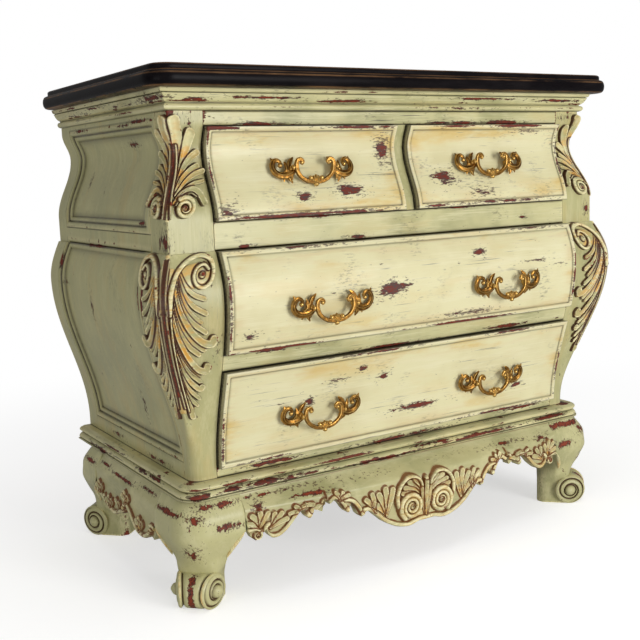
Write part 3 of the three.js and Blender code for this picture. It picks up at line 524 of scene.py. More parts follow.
def paint(name, stretch, depth, coats):
    """A distressed paint. stretch draws out the brush marks: small along the grain, 1 across."""
    material, tree, shader = surface(name, specular=0.38, coated=0.05)
    place, finish, carved_here = readings(tree)
    mixed = {key: colour(*value) if key in COLOURS else value for key, value in coats.items()}
    sockets = {"Place": place, "Finish": finish, "Carved": carved_here, "Stretch": stretch, **mixed}
    laid = node(tree, "ShaderNodeGroup", sockets, node_tree=PAINT_GROUP).outputs
    join(tree, shader, laid["Color"], laid["Roughness"], laid["Height"], 0.5, depth)
    return material


GREEN = {
    "Paint": (190, 185, 132), "Shade": (176, 173, 124), "Brush": (210, 204, 156), "Wash": (206, 178, 108),
    "Gilt": (218, 172, 88), "Glaze": (52, 42, 28), "Edge": (226, 214, 160), "Ground": (124, 44, 20),
    "Dark": (66, 38, 30), "Scratch": (92, 86, 68), "Brushing": 0.5, "Washing": 0.8, "Gilding": 0.85,
    "Glazing": 1.0, "Edging": 0.7, "Chipping": 0.0, "Scratching": 0.55,
}
ACROSS = {
    **GREEN, "Paint": (212, 206, 154), "Brush": (226, 220, 174),
    "Chipping": 0.02, "Brushing": 0.7, "Scratching": 0.9,
}
CREAM = {
    "Paint": (230, 223, 178), "Shade": (222, 213, 166), "Brush": (238, 232, 196), "Wash": (222, 194, 122),
    "Gilt": (206, 172, 104), "Glaze": (38, 32, 25), "Edge": (242, 236, 202), "Ground": (118, 42, 22),
    "Dark": (80, 58, 54), "Scratch": (112, 104, 92), "Brushing": 0.5, "Washing": 0.8, "Gilding": 0.6,
    "Glazing": 0.92, "Edging": 0.5, "Chipping": -0.01, "Scratching": 0.75,
}
CARVED = {
    **GREEN, "Wash": (228, 221, 170), "Gilt": (226, 170, 72), "Glaze": (74, 34, 20), "Edge": (248, 238, 188),
    "Ground": (142, 56, 28), "Dark": (76, 36, 26), "Washing": 1.7, "Gilding": 1.9, "Glazing": 1.15,
    "Edging": 1.0, "Scratching": 0.3,
}
LEGS = {**CARVED, "Paint": (200, 195, 142), "Gilding": 1.15, "Chipping": 0.01}
APRONS = {**CARVED, "Paint": (198, 192, 141), "Glaze": (124, 74, 32), "Gilding": 1.3, "Chipping": -0.05}
green_upright = paint("green_paint_upright", (1.0, 1.0, 0.2), 0.0004, GREEN)
green_across = paint("green_paint_across", (0.14, 0.14, 1.0), 0.0004, ACROSS)
cream_front = paint("cream_paint", (0.14, 1.0, 1.0), 0.0004, CREAM)
carved = paint("carved_paint", (0.35, 0.35, 0.8), 0.0003, CARVED)
carved_legs = paint("carved_paint_legs", (0.8, 0.8, 0.5), 0.0004, LEGS)
carved_apron = paint("carved_paint_apron", (0.35, 0.35, 0.8), 0.0003, APRONS)
print("green, cream and carved paint ready")

# %% [markdown]
# ## Ebonised top, timber and brass
#
# The slab is black lacquer rubbed through to brown on its edges: a smooth shader with the edge
# value mixed into its colour. The unseen boards are plain timber, whose grain is noise
# stretched along the board. The handles are cast brass, dark in the hollows, and bright on the
# high spots from polish by hands and from a painted highlight, so the same finish attribute
# drives their colour.


# %% Top, timber and brass
def ebonised():
    material, tree, shader = surface("ebonised_top", 0.3, specular=0.05)
    place, finish, _ = readings(tree)
    edge = node(tree, "ShaderNodeSeparateColor", {"Color": finish}).outputs["Green"]
    along = node(tree, "ShaderNodeMapping", {"Vector": place, "Scale": (0.2, 0.6, 1)}).outputs["Vector"]
    drag = noise(tree, along, 30.0, 8.0, 0.65)
    rub = maths(tree, "MULTIPLY", edge, span(tree, drag, 0.36, 0.62))
    tone = coat(tree, colour(16, 13, 15), colour(30, 26, 27), span(tree, drag, 0.4, 0.7))
    bared = maths(tree, "MINIMUM", maths(tree, "MULTIPLY", rub, 1.2), 0.85)
    tone = coat(tree, tone, colour(146, 108, 72), bared)
    join(tree, shader, tone, span(tree, drag, 0.3, 0.8, 0.26, 0.4), drag, 0.25, 0.0004)
    return material


def timber():
    """Grain along x, and along y on boards that face sideways. Sockets 4 and 5 of the mix are its
    two vectors."""
    material, tree, shader = surface("bare_timber", 0.65)
    where = node(tree, "ShaderNodeTexCoord").outputs
    facing = node(tree, "ShaderNodeSeparateXYZ", {"Vector": where["Normal"]}).outputs["X"]
    sideways = maths(tree, "GREATER_THAN", maths(tree, "ABSOLUTE", facing), 0.6)
    across, inwards = (
        node(tree, "ShaderNodeMapping", {"Vector": where["Object"], "Scale": scale}).outputs["Vector"]
        for scale in ((0.05, 1, 1), (1, 0.05, 1))
    )
    sockets = {0: sideways, 4: across, 5: inwards}
    along = node(tree, "ShaderNodeMix", sockets, data_type="VECTOR").outputs[1]
    rings, pores = noise(tree, along, 90.0, 5.0, 0.6, 0.3), noise(tree, along, 420.0, 3.0, 0.6)
    tone = coat(tree, colour(190, 155, 110), colour(164, 126, 84), span(tree, rings, 0.4, 0.62))
    tone = coat(tree, tone, colour(112, 80, 50), span(tree, pores, 0.58, 0.75, 0.0, 0.5))
    join(tree, shader, tone, span(tree, rings, 0.3, 0.7, 0.58, 0.72), pores, 0.3, 0.0003)
    return material


def brass():
    material, tree, shader = surface("aged_brass", 0.35, metallic=1.0)
    place, finish, _ = readings(tree)
    seen = node(tree, "ShaderNodeSeparateColor", {"Color": finish}).outputs
    mottle = noise(tree, place, 120.0, 5.0, 0.6)
    tone = coat(tree, colour(158, 112, 50), colour(96, 64, 28), span(tree, mottle, 0.38, 0.62))
    dark = maths(tree, "MINIMUM", maths(tree, "MULTIPLY", seen["Red"], 1.3), 0.94)
    tone = coat(tree, tone, colour(30, 19, 9), dark)
    # Bright brass on the high spots: polish, and also a painted highlight.
    tone = coat(tree, tone, colour(236, 194, 112), maths(tree, "MULTIPLY", seen["Green"], 0.8))
    join(tree, shader, tone, span(tree, mottle, 0.3, 0.7, 0.26, 0.44), mottle, 0.3, 0.0003)
    return material


ebony, boards, cast_brass = ebonised(), timber(), brass()

# %% [markdown]
# ## Boards that stay as they are
#
# Drawer boxes, dust boards, the back and the partition are flat boards in the solids already.
# They keep their solids and only get their material.

# %% Materials for the solids that stay
# A solid without the finish attribute reads as fully carved, so its paint has no gilding here,
# and little wash.
PARTITION = {**GREEN, "Gilding": 0.0, "Washing": 0.3}
plain_green = paint("green_paint_plain", (1.0, 1.0, 0.2), 0.0004, PARTITION)
PLAIN = {
    boards: ("_drawer_box", "_drawer_bottom", "dust_board", "bottom_board", "back_panel", "rear_apron",
             "side_panel"),
    plain_green: ("drawer_partition",),
}
for material, endings in PLAIN.items():
    for name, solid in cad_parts.items():
        if name.endswith(endings):
            solid.data.materials.clear()
            solid.data.materials.append(material)
print("plain boards dressed")

# %% [markdown]
# ## Corner posts
#
# A post is one level outline carried up the bombe curve: the front face, a quarter round at the
# corner that shrinks from 26 mm at the waist to almost nothing, and the side face.


# %% Posts
def levels(low, high, step=7.0):
    """Heights from low to high, with a pair at the lip so that it stays a crisp step."""
    z = np.linspace(low, high, int((high - low) / step) + 2)
    return np.unique(np.append(z, [h for h in (LIP_Z, LIP_Z + 0.1) if low < h < high]))


def post(side):
    """Rings of a post: straight front, quarter round corner, straight side, two hidden corners."""
    z = levels(BOTTOM, TOP)[:, None]
    out = bulge(z)
    drop = wave(z, 228, 378, 26, 2.5)
    cx, cy = HALF + out - drop, FRONT - out + drop
    share, angle = np.linspace(0, 1, 16)[None], np.linspace(0, np.pi / 2, 7)[None, 1:-1]
    eased_x = OPENING + 1
    front = grid(eased_x + (cx - eased_x) * share, cy - drop, z)
    round_ = grid(cx + drop * np.sin(angle), cy - drop * np.cos(angle), z)
    flank = grid(cx + drop, cy + (POST_BACK - cy) * share, z)
    eased = grid(OPENING + 0 * z, FRONT - out + 1.2, z)
    inner = grid(OPENING + 0 * z, POST_BACK + 0 * z, z)
    rings = np.concatenate([eased, front, round_, flank, inner], 1)
    rings[..., 0] *= side
    glaze_and_shade, corner = np.zeros(rings.shape[1]), np.zeros(rings.shape[:2])
    # Painted shade on the post's edges beside the drawer openings.
    glaze_and_shade[0] = glaze_and_shade[-1] = 0.3
    corner[:, 17:23] = 0.7 * np.clip((z - 300) / 80, 0, 1)
    return skin(rings, marks(corner.shape, glaze_and_shade, corner))


POST_SPOTS = {
    "left": [
        (-486, -276, 285, 7, 9, 22), (-470, -283, 390, 6, 14, 26), (-430, -283, 470, 5, 14, 24),
        (-478, -240, 868, 26, 12, 7), (-503, -240, 660, 6, 20, 22), (-505, -200, 345, 9, 7, 40),
        (-528, -190, 560, 8, 5, 40), (-455, -250, 858, 20, 14, 5),
    ],
    "right": [
        (486, -276, 300, 9, 9, 25), (470, -290, 450, 8, 14, 30), (490, -250, 668, 10, 14, 14),
        (440, -240, 866, 26, 12, 6), (505, -200, 345, 9, 7, 40), (528, -190, 560, 8, 5, 40),
    ],
}
for name, side in SIDES.items():
    build(f"{name}_corner_post", [post(side)], green_upright, [f"{name}_front_post"], spots=POST_SPOTS[name])

# %% [markdown]
# ## Side sheets with sunk panels
#
# Each side has two sunk panels inside a raised frame. The step down is a small moulding, so the
# depth is read from a short profile by the distance inside the panel's edge. The same sheet
# follows the bombe curve, which keeps the moulding's lines curving with the side.


# %% Side sheets
PANEL_EDGE = [
    (-14, 0), (-12.5, 1.5), (-11, 0), (-7, -1.2), (-3, -0.4), (-1, 2.6), (0.5, 4.6), (2, 4.2), (5, 3.6),
    (8, 5.2), (10, 8.6), (12, 9.3),
]
# Painted shade in the groove and at the foot of each step, by the distance inside the panel's edge.
PANEL_SHADE = [
    (-14, 0), (-12.5, 0.9), (-11, 0), (-3, 0), (-0.5, 0.85), (1.5, 0.75), (3, 0), (8, 0.1), (10, 0.8),
    (12, 0.4), (22, 0),
]
# Each panel from and to in y and in z, and the sheet's thickness.
PANELS = [(-177, 256, 270, 640), (-161, 256, 684, 857)]
SHEET = 9.8


def inside_panel(y, z):
    """Distance inside the nearest panel's edge, negative outside. It grows at half the rate from
    the front edge, so the moulding flattens out there."""
    inside = [
        np.minimum(np.minimum(0.5 * (y - y0), y1 - y), np.minimum(z - z0, z1 - z))
        for y0, y1, z0, z1 in PANELS
    ]
    return np.max(inside, 0)


def fine(low, high, step, places, reach=14, small=1.6):
    """Places from low to high at a step, and closer together near the marks."""
    coarse = np.arange(low, high, step)
    close = [np.arange(m - reach, m + reach + small, small) for m in places]
    every = np.sort(np.concatenate([coarse, *close, [low, high]]))
    every = every[(every >= low) & (every <= high)]
    return every[np.append(np.diff(every) > 0.4, True)]


def side_sheet(side):
    """Rings of a side sheet: its face along y at each height, and a straight back behind it."""
    at_lip = [628, 632, 636, 638.5, 640, 640.1, 642, 645]
    z = np.unique(np.append(fine(BOTTOM, TOP, 7, [270, 684, 857]), at_lip))[:, None]
    front_edge = POST_BACK + 0.3
    y = fine(front_edge, BACK, 7, [-177, -161, 256])[None]
    out = HALF + bulge(z)
    inside = inside_panel(y, z)
    face = grid(out - np.interp(inside, *zip(*PANEL_EDGE)), y, z)
    back = np.concatenate([grid(out - SHEET, y_, z) for y_ in (BACK, front_edge)], 1)
    glaze_and_shade = np.interp(inside, *zip(*PANEL_SHADE)) * np.clip((y + 168) / 24, 0, 1)
    # A painted highlight, with rubbed wear, on the raised frame's edge 9 mm outside the panel.
    highlight_and_rub = 0.9 * hump(inside + 9, 2.2)
    glaze_and_shade, highlight_and_rub = np.pad(glaze_and_shade, ((0, 0), (0, 2))), np.pad(highlight_and_rub, ((0, 0), (0, 2)))
    rings = np.concatenate([face, back], 1)
    rings[..., 0] *= side
    return skin(rings, marks(glaze_and_shade.shape, glaze_and_shade, highlight_and_rub))


SIDE_SPOTS = [
    (-100, 868, 50, 4), (-40, 864, 40, 3), (200, 866, 40, 4), (190, 770, 5, 20), (-30, 830, 30, 5),
    (100, 520, 5, 28), (-20, 330, 7, 34), (-150, 560, 5, 26), (240, 560, 14, 5), (90, 640, 60, 3),
    (260, 600, 5, 20), (-140, 690, 16, 5), (-60, 235, 60, 4), (150, 240, 40, 4),
]
for name, side in SIDES.items():
    spots = [(side * (HALF + float(bulge(z)) - 5), y, z, 14, ry, rz) for y, z, ry, rz in SIDE_SPOTS]
    build(f"{name}_side_sheet", [side_sheet(side)], green_upright, [f"{name}_side_frame"], spots=spots)

# %% [markdown]
# ## Rails
#
# Four rails run between the posts. Each is its own vertical profile, the bombe curve with eased
# edges, carried straight along x. The brush marks and chips run along them.


# %% Rails
def rail(low, high):
    """Rings along x: the front profile with eased edges, then the flat back."""
    z = np.concatenate([[low, low + 0.5], levels(low + 1.6, high - 1.6, 2.4), [high - 0.5, high]])
    ease = np.concatenate([[1.4, 0.5], np.zeros(len(z) - 4), [0.5, 1.4]])
    y = FRONT - bulge(z) + ease
    ring_y, ring_z = np.concatenate([[POST_BACK], y, [POST_BACK]]), np.concatenate([[low], z, [high]])
    x = np.linspace(0.3 - OPENING, OPENING - 0.3, 120)[:, None]
    # Painted shade along the top and bottom edges, where the drawers stand proud above and below.
    glaze_and_shade = np.clip(1.4 - np.minimum(ring_z - low, high - ring_z) / 1.6, 0, 1)
    return skin(grid(x, ring_y[None], ring_z[None]), marks((120, len(ring_y)), glaze_and_shade))


RAILS = {
    "frieze_rail": (853, TOP), "middle_rail": (642, 690), "lower_rail": (430, 460),
    "bottom_rail": (BOTTOM, 245),
}
RAIL_SPOTS = [
    (-300, 855, 60, 4), (120, 856, 80, 3), (260, 856, 60, 4), (-120, 646, 18, 4), (-360, 645, 16, 3),
    (130, 689, 40, 3), (-200, 690, 60, 3), (300, 660, 8, 3), (-60, 432, 90, 3), (240, 436, 60, 4),
    (-330, 458, 40, 4), (0, 232, 120, 4), (330, 240, 60, 4), (-300, 236, 60, 4),
]
for name, (low, high) in RAILS.items():
    spots = [on_front(*spot) for spot in RAIL_SPOTS]
    build(f"{name}_moulded", [rail(low, high)], green_across, [name], spots=spots)

# %% [markdown]
# ## Mouldings round the chest
#
# The top slab, the cornice and the base are mouldings: a profile carried round a plan outline
# with rounded or square corners. A lathe would not do for a rectangle, so each profile point
# gives its own outline, pulled in by the point's inset.


# %% Mouldings
def plan(half, front, back, front_radius, back_radius):
    """Ring round a rectangle with quarter-round corners, its straight sides cut into short steps."""
    ring = []
    corners = [(half, back, back_radius), (-half, back, back_radius),
               (-half, front, front_radius), (half, front, front_radius)]
    for quarter, (x, y, r) in enumerate(corners):
        centre = np.array([x - math.copysign(r, x), y - (r if y == back else -r)])
        angle = (quarter + np.linspace(0, 1, 9)) * np.pi / 2
        ring.append(centre + r * np.stack([np.cos(angle), np.sin(angle)], -1))
    parts = []
    for i, arc in enumerate(ring):
        start, end = arc[-1], ring[(i + 1) % 4][0]
        share = np.linspace(0, 1, (60, 36)[i % 2])[1:-1, None]
        parts += [arc, start + (end - start) * share]
    return np.vstack(parts)


def moulding(profile_points, half, front, back, front_radius, back_radius, square_back=False):
    """Rings of a moulding. Each profile point is (height, inset), and corners keep one centre."""
    rings = []
    for z, inset in profile_points:
        r1, r2 = max(front_radius - inset, 0.6), max(back_radius - inset, 0.6)
        ring = plan(half - inset, front + inset, back if square_back else back - inset, r1, r2)
        rings.append(np.column_stack([ring, np.full(len(ring), z)]))
    return np.array(rings)


def shaped(shares, low, high, reach, per=4):
    """A moulding profile from (height share, reach share) points, eased between them."""
    z_share, reach_share = curve(shares, per * len(shares)).T
    return np.column_stack([low + (high - low) * np.clip(z_share, 0, 1), reach * reach_share])


def profile_marks(profile_points, lines):
    """A value for each ring of a moulding: the sum of a hump at each line's height."""
    z = profile_points[:, :1]
    return np.clip(sum(hump(z - at, width) for at, width in lines.items()), 0, 1)


def run_round(name, profile_points, outline, material, replaced, glaze_and_shade, highlight_and_rub, **settings):
    """Builds a moulding: a profile round an outline, with glaze and painted shade, and rubbed edges and
    painted highlights, for each of its points.
    """
    rings = moulding(profile_points, *outline)
    finish = marks(rings.shape[:2], glaze_and_shade, highlight_and_rub)
    build(name, [skin(rings, finish)], material, replaced, sharp=50, **settings)


SLAB = [
    (0, 0.55), (0.04, 0.3), (0.16, 0.08), (0.34, 0), (0.52, 0.06), (0.66, 0.28), (0.72, 0.62), (0.76, 0.72),
    (0.92, 0.74), (1, 1),
]
slab_profile = np.vstack([shaped(SLAB, 915.3, 952, 15), [[952, 20], [952, 60], [952, 140]]])
slab_rub = 0.75 * profile_marks(slab_profile, {936: 0.9, 941: 0.8, 951: 0.8, 916: 0.9})
slab_rub[-3:] = -1
run_round("rubbed_top_slab", slab_profile, (531, -289.7, 318.8, 42, 42), ebony, ["top_slab"], 0, slab_rub,
          gain=9)

CORNICE = [
    (0, 0.1), (0.04, 0.3), (0.12, 0.42), (0.22, 0.42), (0.3, 0.3), (0.33, 0.12), (0.38, 0.14), (0.44, 0.34),
    (0.54, 0.52), (0.66, 0.66), (0.76, 0.76), (0.79, 0.62), (0.83, 0.86), (1, 1),
]
cornice_profile = shaped(CORNICE, 878.3, 915, 19, 6) * [1, -1] + [0, 20]
cornice_spots = [
    (-503, -190, 900, 20, 60, 7), (-498, -250, 899, 16, 12, 8), (-503, -60, 898, 10, 60, 3),
    (-503, 60, 903, 10, 60, 3), (-500, 180, 896, 10, 60, 4), (-300, -250, 900, 90, 14, 3),
    (-120, -250, 896, 60, 14, 2.5), (150, -250, 884, 80, 10, 3), (200, -250, 902, 90, 14, 2.5),
    (400, -250, 900, 70, 14, 3), (-430, -250, 897, 30, 14, 3), (503, 0, 900, 10, 70, 5),
]
# Painted shade in the cornice's quirks, and painted highlights on its rounds.
cornice_shade_lines = 0.6 * profile_marks(cornice_profile, {878.5: 1.3, 891.2: 1.3, 907.2: 1.2, 915: 1.2})
cornice_highlights = 0.7 * profile_marks(cornice_profile, {885: 2.2, 894: 1.4, 911: 2})
run_round("cornice_moulding", cornice_profile, (HALF, FRONT, BACK, 0, 0, True), green_across, ["cornice"],
          cornice_shade_lines, cornice_highlights, spots=cornice_spots)

BASE = [
    (0, 1), (0.08, 1), (0.13, 0.82), (0.18, 0.94), (0.34, 0.88), (0.46, 0.74), (0.54, 0.6), (0.6, 0.78),
    (0.74, 0.88), (0.88, 0.8), (1, 0.5),
]
base_ledge = [[228, inset] for inset in (24, 34, 36, 38, 90)]
base_profile = np.vstack([shaped(BASE, 200, 228, 29, 6) * [1, -1] + [0, 37], base_ledge])
# Painted shade in the base's quirks and on the ledge behind its top, and painted highlights on its rounds.
base_shade_lines = 0.8 * profile_marks(base_profile, {200: 1.3, 203.7: 1.0, 215: 1.4})
base_shade_lines[-3:-1] = 0.9
base_highlights = 0.7 * profile_marks(base_profile, {207: 2, 221: 2.4, 228: 0.6})
base_spots = [
    (-330, -246, 210, 110, 16, 6), (-390, -246, 220, 40, 16, 4), (-60, -246, 204, 90, 16, 3),
    (-150, -246, 222, 60, 16, 3), (60, -246, 212, 60, 16, 3), (200, -246, 209, 90, 16, 4),
    (-466, -240, 208, 26, 20, 6), (-496, -60, 212, 12, 70, 4), (-496, 100, 222, 12, 60, 3),
    (-496, 180, 206, 12, 60, 4), (400, -246, 212, 60, 16, 5), (496, 40, 212, 12, 90, 4),
]
run_round("base_moulding_run", base_profile, (HALF, FRONT, BACK, 46, 0, True), green_across,
          ["base_moulding"], base_shade_lines, base_highlights, spots=base_spots)

# %% [markdown]
# ## Drawer fronts
#
# A drawer front is a thick board that swells with the bombe curve. A raised bead runs round its
# edge, worn to the red-brown ground and lit by a painted highlight. Painted shade lines lie in
# the gap outside it and at its foot, and its side walls are dark with old glaze and painted shade.
# The face is a grid whose height is read from a profile by the distance to the nearest edge.

# %% Drawer fronts
# How far a front stands proud of the curve, and what the bead's profile takes off that, by the
# distance from the edge.
PROUD = 16
BEAD = [
    (0, 1.6), (0.6, 0.6), (1.8, 0.1), (4.5, 0.0), (7.6, 0.3), (8.8, 1.5), (9.8, 3.0), (11.5, 2.6),
    (14, 2.1),
]
# Painted shade by the distance from the edge: in the gap round the front and at the foot of the bead.
BEAD_SHADE = [(0, 0.9), (1.2, 0.3), (2, 0), (7.8, 0), (9.4, 0.7), (10.6, 0.45), (12.4, 0.1), (15, 0)]
BEAD_STAIN = [(0, 0.5), (11, 0.85), (22, 0.7), (45, 0.0)]


def drawer_front(x0, x1, z0, z1, back):
    """Rings upwards: the hidden back, the dark side wall, the beaded face, the other side."""
    z = fine(z0, z1, 5, [z0, z1], 14, 1.2)[:, None]
    x = fine(x0, x1, 6, [x0, x1], 14, 1.2)[None]
    edge = np.minimum(np.minimum(x - x0, x1 - x), np.minimum(z - z0, z1 - z))
    y = FRONT - bulge(z) - PROUD + np.interp(edge, *zip(*BEAD))
    face = grid(x, y, z)
    wall = [[grid(x_, FRONT - bulge(z) - depth, z) for depth in (12.5, 7.5, 5, 1)] for x_ in (x0, x1)]
    rear = [grid(x_, back + 0 * z, z) for x_ in (x0, x1)]
    rings = np.concatenate([rear[0], *wall[0][::-1], face, *wall[1], rear[1]], 1)
    hidden = ((0, 0), (5, 5))
    glaze_and_shade = np.pad(np.interp(edge, *zip(*BEAD_SHADE)), hidden)
    # The side walls: old glaze and painted shade of the gap.
    glaze_and_shade[:, :5] = [1, 1, 1, 0.62, 0.5]
    glaze_and_shade[:, -5:] = [0.5, 0.62, 1, 1, 1]
    # The bead's rubbed wear, with a painted highlight on it.
    bead_highlight_and_wear = np.pad(np.clip(1 - np.abs(edge - 2.5) / 3.5, 0, 1), hidden)
    stain = np.pad(np.interp(edge, *zip(*BEAD_STAIN)), hidden)
    return skin(rings, marks(glaze_and_shade.shape, glaze_and_shade, bead_highlight_and_wear, 0, stain))


# Each front from and to in x and in z, and its hidden back in y.
WIDE = OPENING - 1.5
DRAWERS = {
    "upper_left": (-WIDE, -15, 691.5, 851.5, -212.7), "upper_right": (15, WIDE, 691.5, 851.5, -212.7),
    "middle": (-WIDE, WIDE, 461.5, 640.5, -250.6), "bottom": (-WIDE, WIDE, 246.5, 428.5, -210.8),
}
FRONT_SPOTS = {
    "upper_left": [
        (-138, 734, 26, 11), (-240, 727, 15, 7), (-240, 695, 190, 4), (-395, 708, 16, 14),
        (-413, 770, 2, 60), (-46, 806, 15, 30), (-8, 786, 5, 26), (-404, 848, 40, 3), (-100, 848, 70, 3),
    ],
    "upper_right": [
        (95, 750, 24, 15), (184, 717, 26, 8), (60, 696, 40, 3), (230, 697, 110, 3.4), (290, 848, 50, 3),
        (120, 848, 30, 2.5), (412, 770, 3, 60), (330, 838, 30, 4),
    ],
    "middle": [
        (-73, 546, 30, 14), (-374, 490, 14, 5), (-413, 540, 3, 60), (-300, 463, 60, 3), (130, 464, 110, 3),
        (-250, 638, 80, 2.5), (300, 638, 60, 3), (300, 572, 30, 2.5), (150, 600, 14, 8),
        (380, 560, 20, 2.5), (120, 480, 60, 5), (412, 520, 3, 50),
    ],
    "bottom": [
        (-235, 343, 10, 9), (-120, 395, 10, 5), (-70, 372, 14, 7), (20, 295, 46, 6), (-413, 300, 3, 50),
        (-330, 250, 50, 3), (260, 249, 110, 3), (-100, 426, 90, 2.5), (250, 426, 60, 3), (300, 300, 16, 6),
        (-180, 380, 20, 4), (412, 330, 3, 50),
    ],
}
for name, (x0, x1, z0, z1, back) in DRAWERS.items():
    spots = [on_front(x, z, 1.15 * rx, 1.15 * rz, PROUD, 14) for x, z, rx, rz in FRONT_SPOTS[name]]
    build(f"{name}_beaded_front", [drawer_front(x0, x1, z0, z1, back)], cream_front,
          [f"{name}_drawer_front"], f"{name}_drawer", spots)

# %% [markdown]
# ## Carved corner leaves
#
# Acanthus leaves grow over the front corners, half on the front and half on the side. Their
# lobes are hollow flutes that fan out from a rib on the corner edge and end in a scroll. The
# pattern is carved flat, with u measured from the corner edge, and then wrapped round the
# corner. Where there is no carving the sheet dips just under the post, so its outline is crisp.

# %% The pattern of the leaves
UPPER = [
    ("pad", [(0, 866), (0, 698)], 3.6, 3.2),
    ("pad", [(2, 812), (6, 772), (12, 742)], 10, 4.0),
    ("pad", [(28, 717)], 20, 4.0),
    *spoons(
        ([(4, 788), (6, 820), (9, 842), (9, 863)], 9.6, 10.0),
        ([(8, 772), (13, 800), (22, 824), (33, 842)], 9.4, 9.4),
        ([(8, 760), (15, 784), (26, 800), (37, 808)], 7.6, 9.0),
        ([(7, 746), (15, 766), (27, 779), (38, 786)], 6.4, 8.8),
        ([(8, 738), (22, 760), (36, 772), (50, 777)], 6.2, 9.0),
        ([(9, 732), (24, 749), (38, 757), (53, 760)], 4.8, 9.4),
        ([(6, 724), (18, 741), (36, 748), (50, 741), (63, 724)], 6.4, 11.0),
    ),
    ("bead", [(10, 722), (19, 735), (34, 741), (46, 735)], 2.0, 10.0),
    ("scroll", spiral((28, 717), 18, 2.0, 2.2, -1), 5.4, 10.5),
    ("bead", [(28, 717)], 5.4, 11.0),
    ("bead", [(3, 822), (3.2, 780), (3, 740), (4, 700)], 1.9, 6.4),
]
LOWER = [
    ("pad", [(0, 638), (0, 396)], 3.6, 3.2),
    ("pad", [(8, 604), (16, 560), (18, 510), (12, 430), (8, 375)], 16, 4.0),
    ("pad", [(30, 600), (66, 606)], 22, 4.0),
    *spoons(
        ([(24, 612), (38, 588), (54, 573), (72, 565)], 5.6, 9.0),
        ([(23, 606), (36, 576), (52, 554), (73, 540)], 6.0, 9.4),
        ([(22, 600), (34, 564), (46, 542), (62, 526)], 5.4, 9.6),
        ([(21, 594), (31, 553), (46, 527), (68, 508)], 6.2, 10.0),
        ([(16, 580), (24, 536), (36, 503), (48, 486), (60, 477)], 6.0, 9.6),
        ([(18, 588), (28, 545), (42, 513), (60, 491), (75, 486), (82, 494)], 8.6, 11.4),
        ([(13, 560), (20, 520), (33, 488), (49, 470)], 6.0, 9.6),
        ([(10, 536), (15, 490), (24, 456), (34, 438), (42, 431)], 5.4, 9.4),
        ([(12, 548), (18, 504), (30, 466), (43, 443), (55, 438), (61, 446)], 8.0, 11.4),
        ([(9, 505), (14, 470), (24, 441), (41, 420)], 5.6, 9.6),
        ([(8, 490), (13, 452), (22, 425), (36, 406), (43, 409)], 6.6, 10.6),
        ([(8, 470), (11, 432), (19, 407), (32, 389)], 5.2, 9.8),
        ([(7, 450), (10, 414), (16, 391), (26, 376)], 5.0, 9.8),
        ([(6, 436), (8, 400), (12, 372), (13, 355)], 6.6, 10.4),
    ),
    ("bead", [(12, 578), (9, 540), (7, 480), (7, 420), (9, 366)], 2.4, 8.4),
    ("scroll", [(7, 545), (12, 585), (19, 611), (33, 628), (50, 636), (67, 635), (80, 626), (86, 609),
                (82, 592), (69, 584), (56, 590), (50, 604), (54, 617), (66, 622), (76, 614)], 5.6, 11.5),
    ("bead", [(66, 605)], 6.4, 12.0),
    ("bead", [(3.2, 632), (3.2, 600), (3, 556), (3, 500), (3, 430), (4, 372)], 1.8, 5.8),
]
LEAF_EYES = [(28, 717, 4.0), (66, 605, 5.0)]
print(len(UPPER), "strokes above and", len(LOWER), "below on each face")


# %% Leaves wrapped round the corners
def wrap(u, z, lift):
    """A place on the corner: u runs along the front, through a quarter round of 6 mm at the
    edge, and back along the side where it is negative. lift stands off the surface."""
    out, r = bulge(z), 6.0
    cx, cy = HALF + out - r, FRONT - out + r
    flat = np.abs(u) - r * np.pi / 4
    angle = np.pi / 4 - np.clip(u / r, -np.pi / 4, np.pi / 4)
    x = cx + (r + lift) * np.sin(angle) - np.where(u > 0, np.clip(flat, 0, None), 0)
    y = cy - (r + lift) * np.cos(angle) + np.where(u < 0, np.clip(flat, 0, None), 0)
    return x, y


def eyes(u, v, places, depth):
    """Rubbed middles of scrolls: depth times a hump round each place."""
    rubbed_and_highlit = [hump(np.hypot(u - a, v - b), r) for a, b, r in places]
    return depth * np.max([0 * u, *rubbed_and_highlit], 0)


def corner_wear(u, z, low, high):
    """Worn line on the corner's edge: its half width eases from 1.9 mm at the foot of the leaf to
    0.9 mm at the top, and it stops short of both ends."""
    share = np.clip((z - low) / (high - low), 0, 1)
    inside = np.clip(np.minimum(z - low - 6, high - 18 - z) / 5, 0, 1)
    return 0.95 * inside * np.clip(1.9 - 1.0 * share - np.abs(u), 0, 1)


def leaf(strokes, half, low, high, side, panel_y, step, deep):
    """Rings up the corner: the carved sheet across both faces and one point inside the post. The
    sheet stops at the post's inner edge in front and at panel_y on the side."""
    z = np.linspace(low, high, int((high - low) / step))[:, None]
    share = np.linspace(-1, 1, int(2 * half / step))[None]
    front_reach = np.minimum(half, HALF + bulge(z) - OPENING - 2)
    side_reach = np.minimum(half, panel_y - FRONT + bulge(z) - 1.3)
    u = share * np.where(share > 0, front_reach, side_reach)
    flat_u, flat_z = np.broadcast_arrays(np.abs(u), z)
    carving = carve(flat_u, flat_z, strokes)
    height = carving[0]
    on_edge = corner_wear(u, z, low + (high - low) // 7, high)
    spot = np.maximum(on_edge, eyes(flat_u, flat_z, LEAF_EYES, 0.9))
    lift = np.where(height > 0.25, 0.6 + deep * height, -1.6)
    lift[:, 0] = lift[:, -1] = lift[0] = lift[-1] = -1.6
    x, y = wrap(u, z, lift)
    sheet = grid(x, y, z)
    inner = grid(HALF + bulge(z) - 24, FRONT - bulge(z) + 24, z)
    rings = np.concatenate([sheet, inner], 1)
    rings[..., 0] *= side
    return skin(rings, np.pad(carving_marks(carving, spot), ((0, 0), (0, 1), (0, 0))))


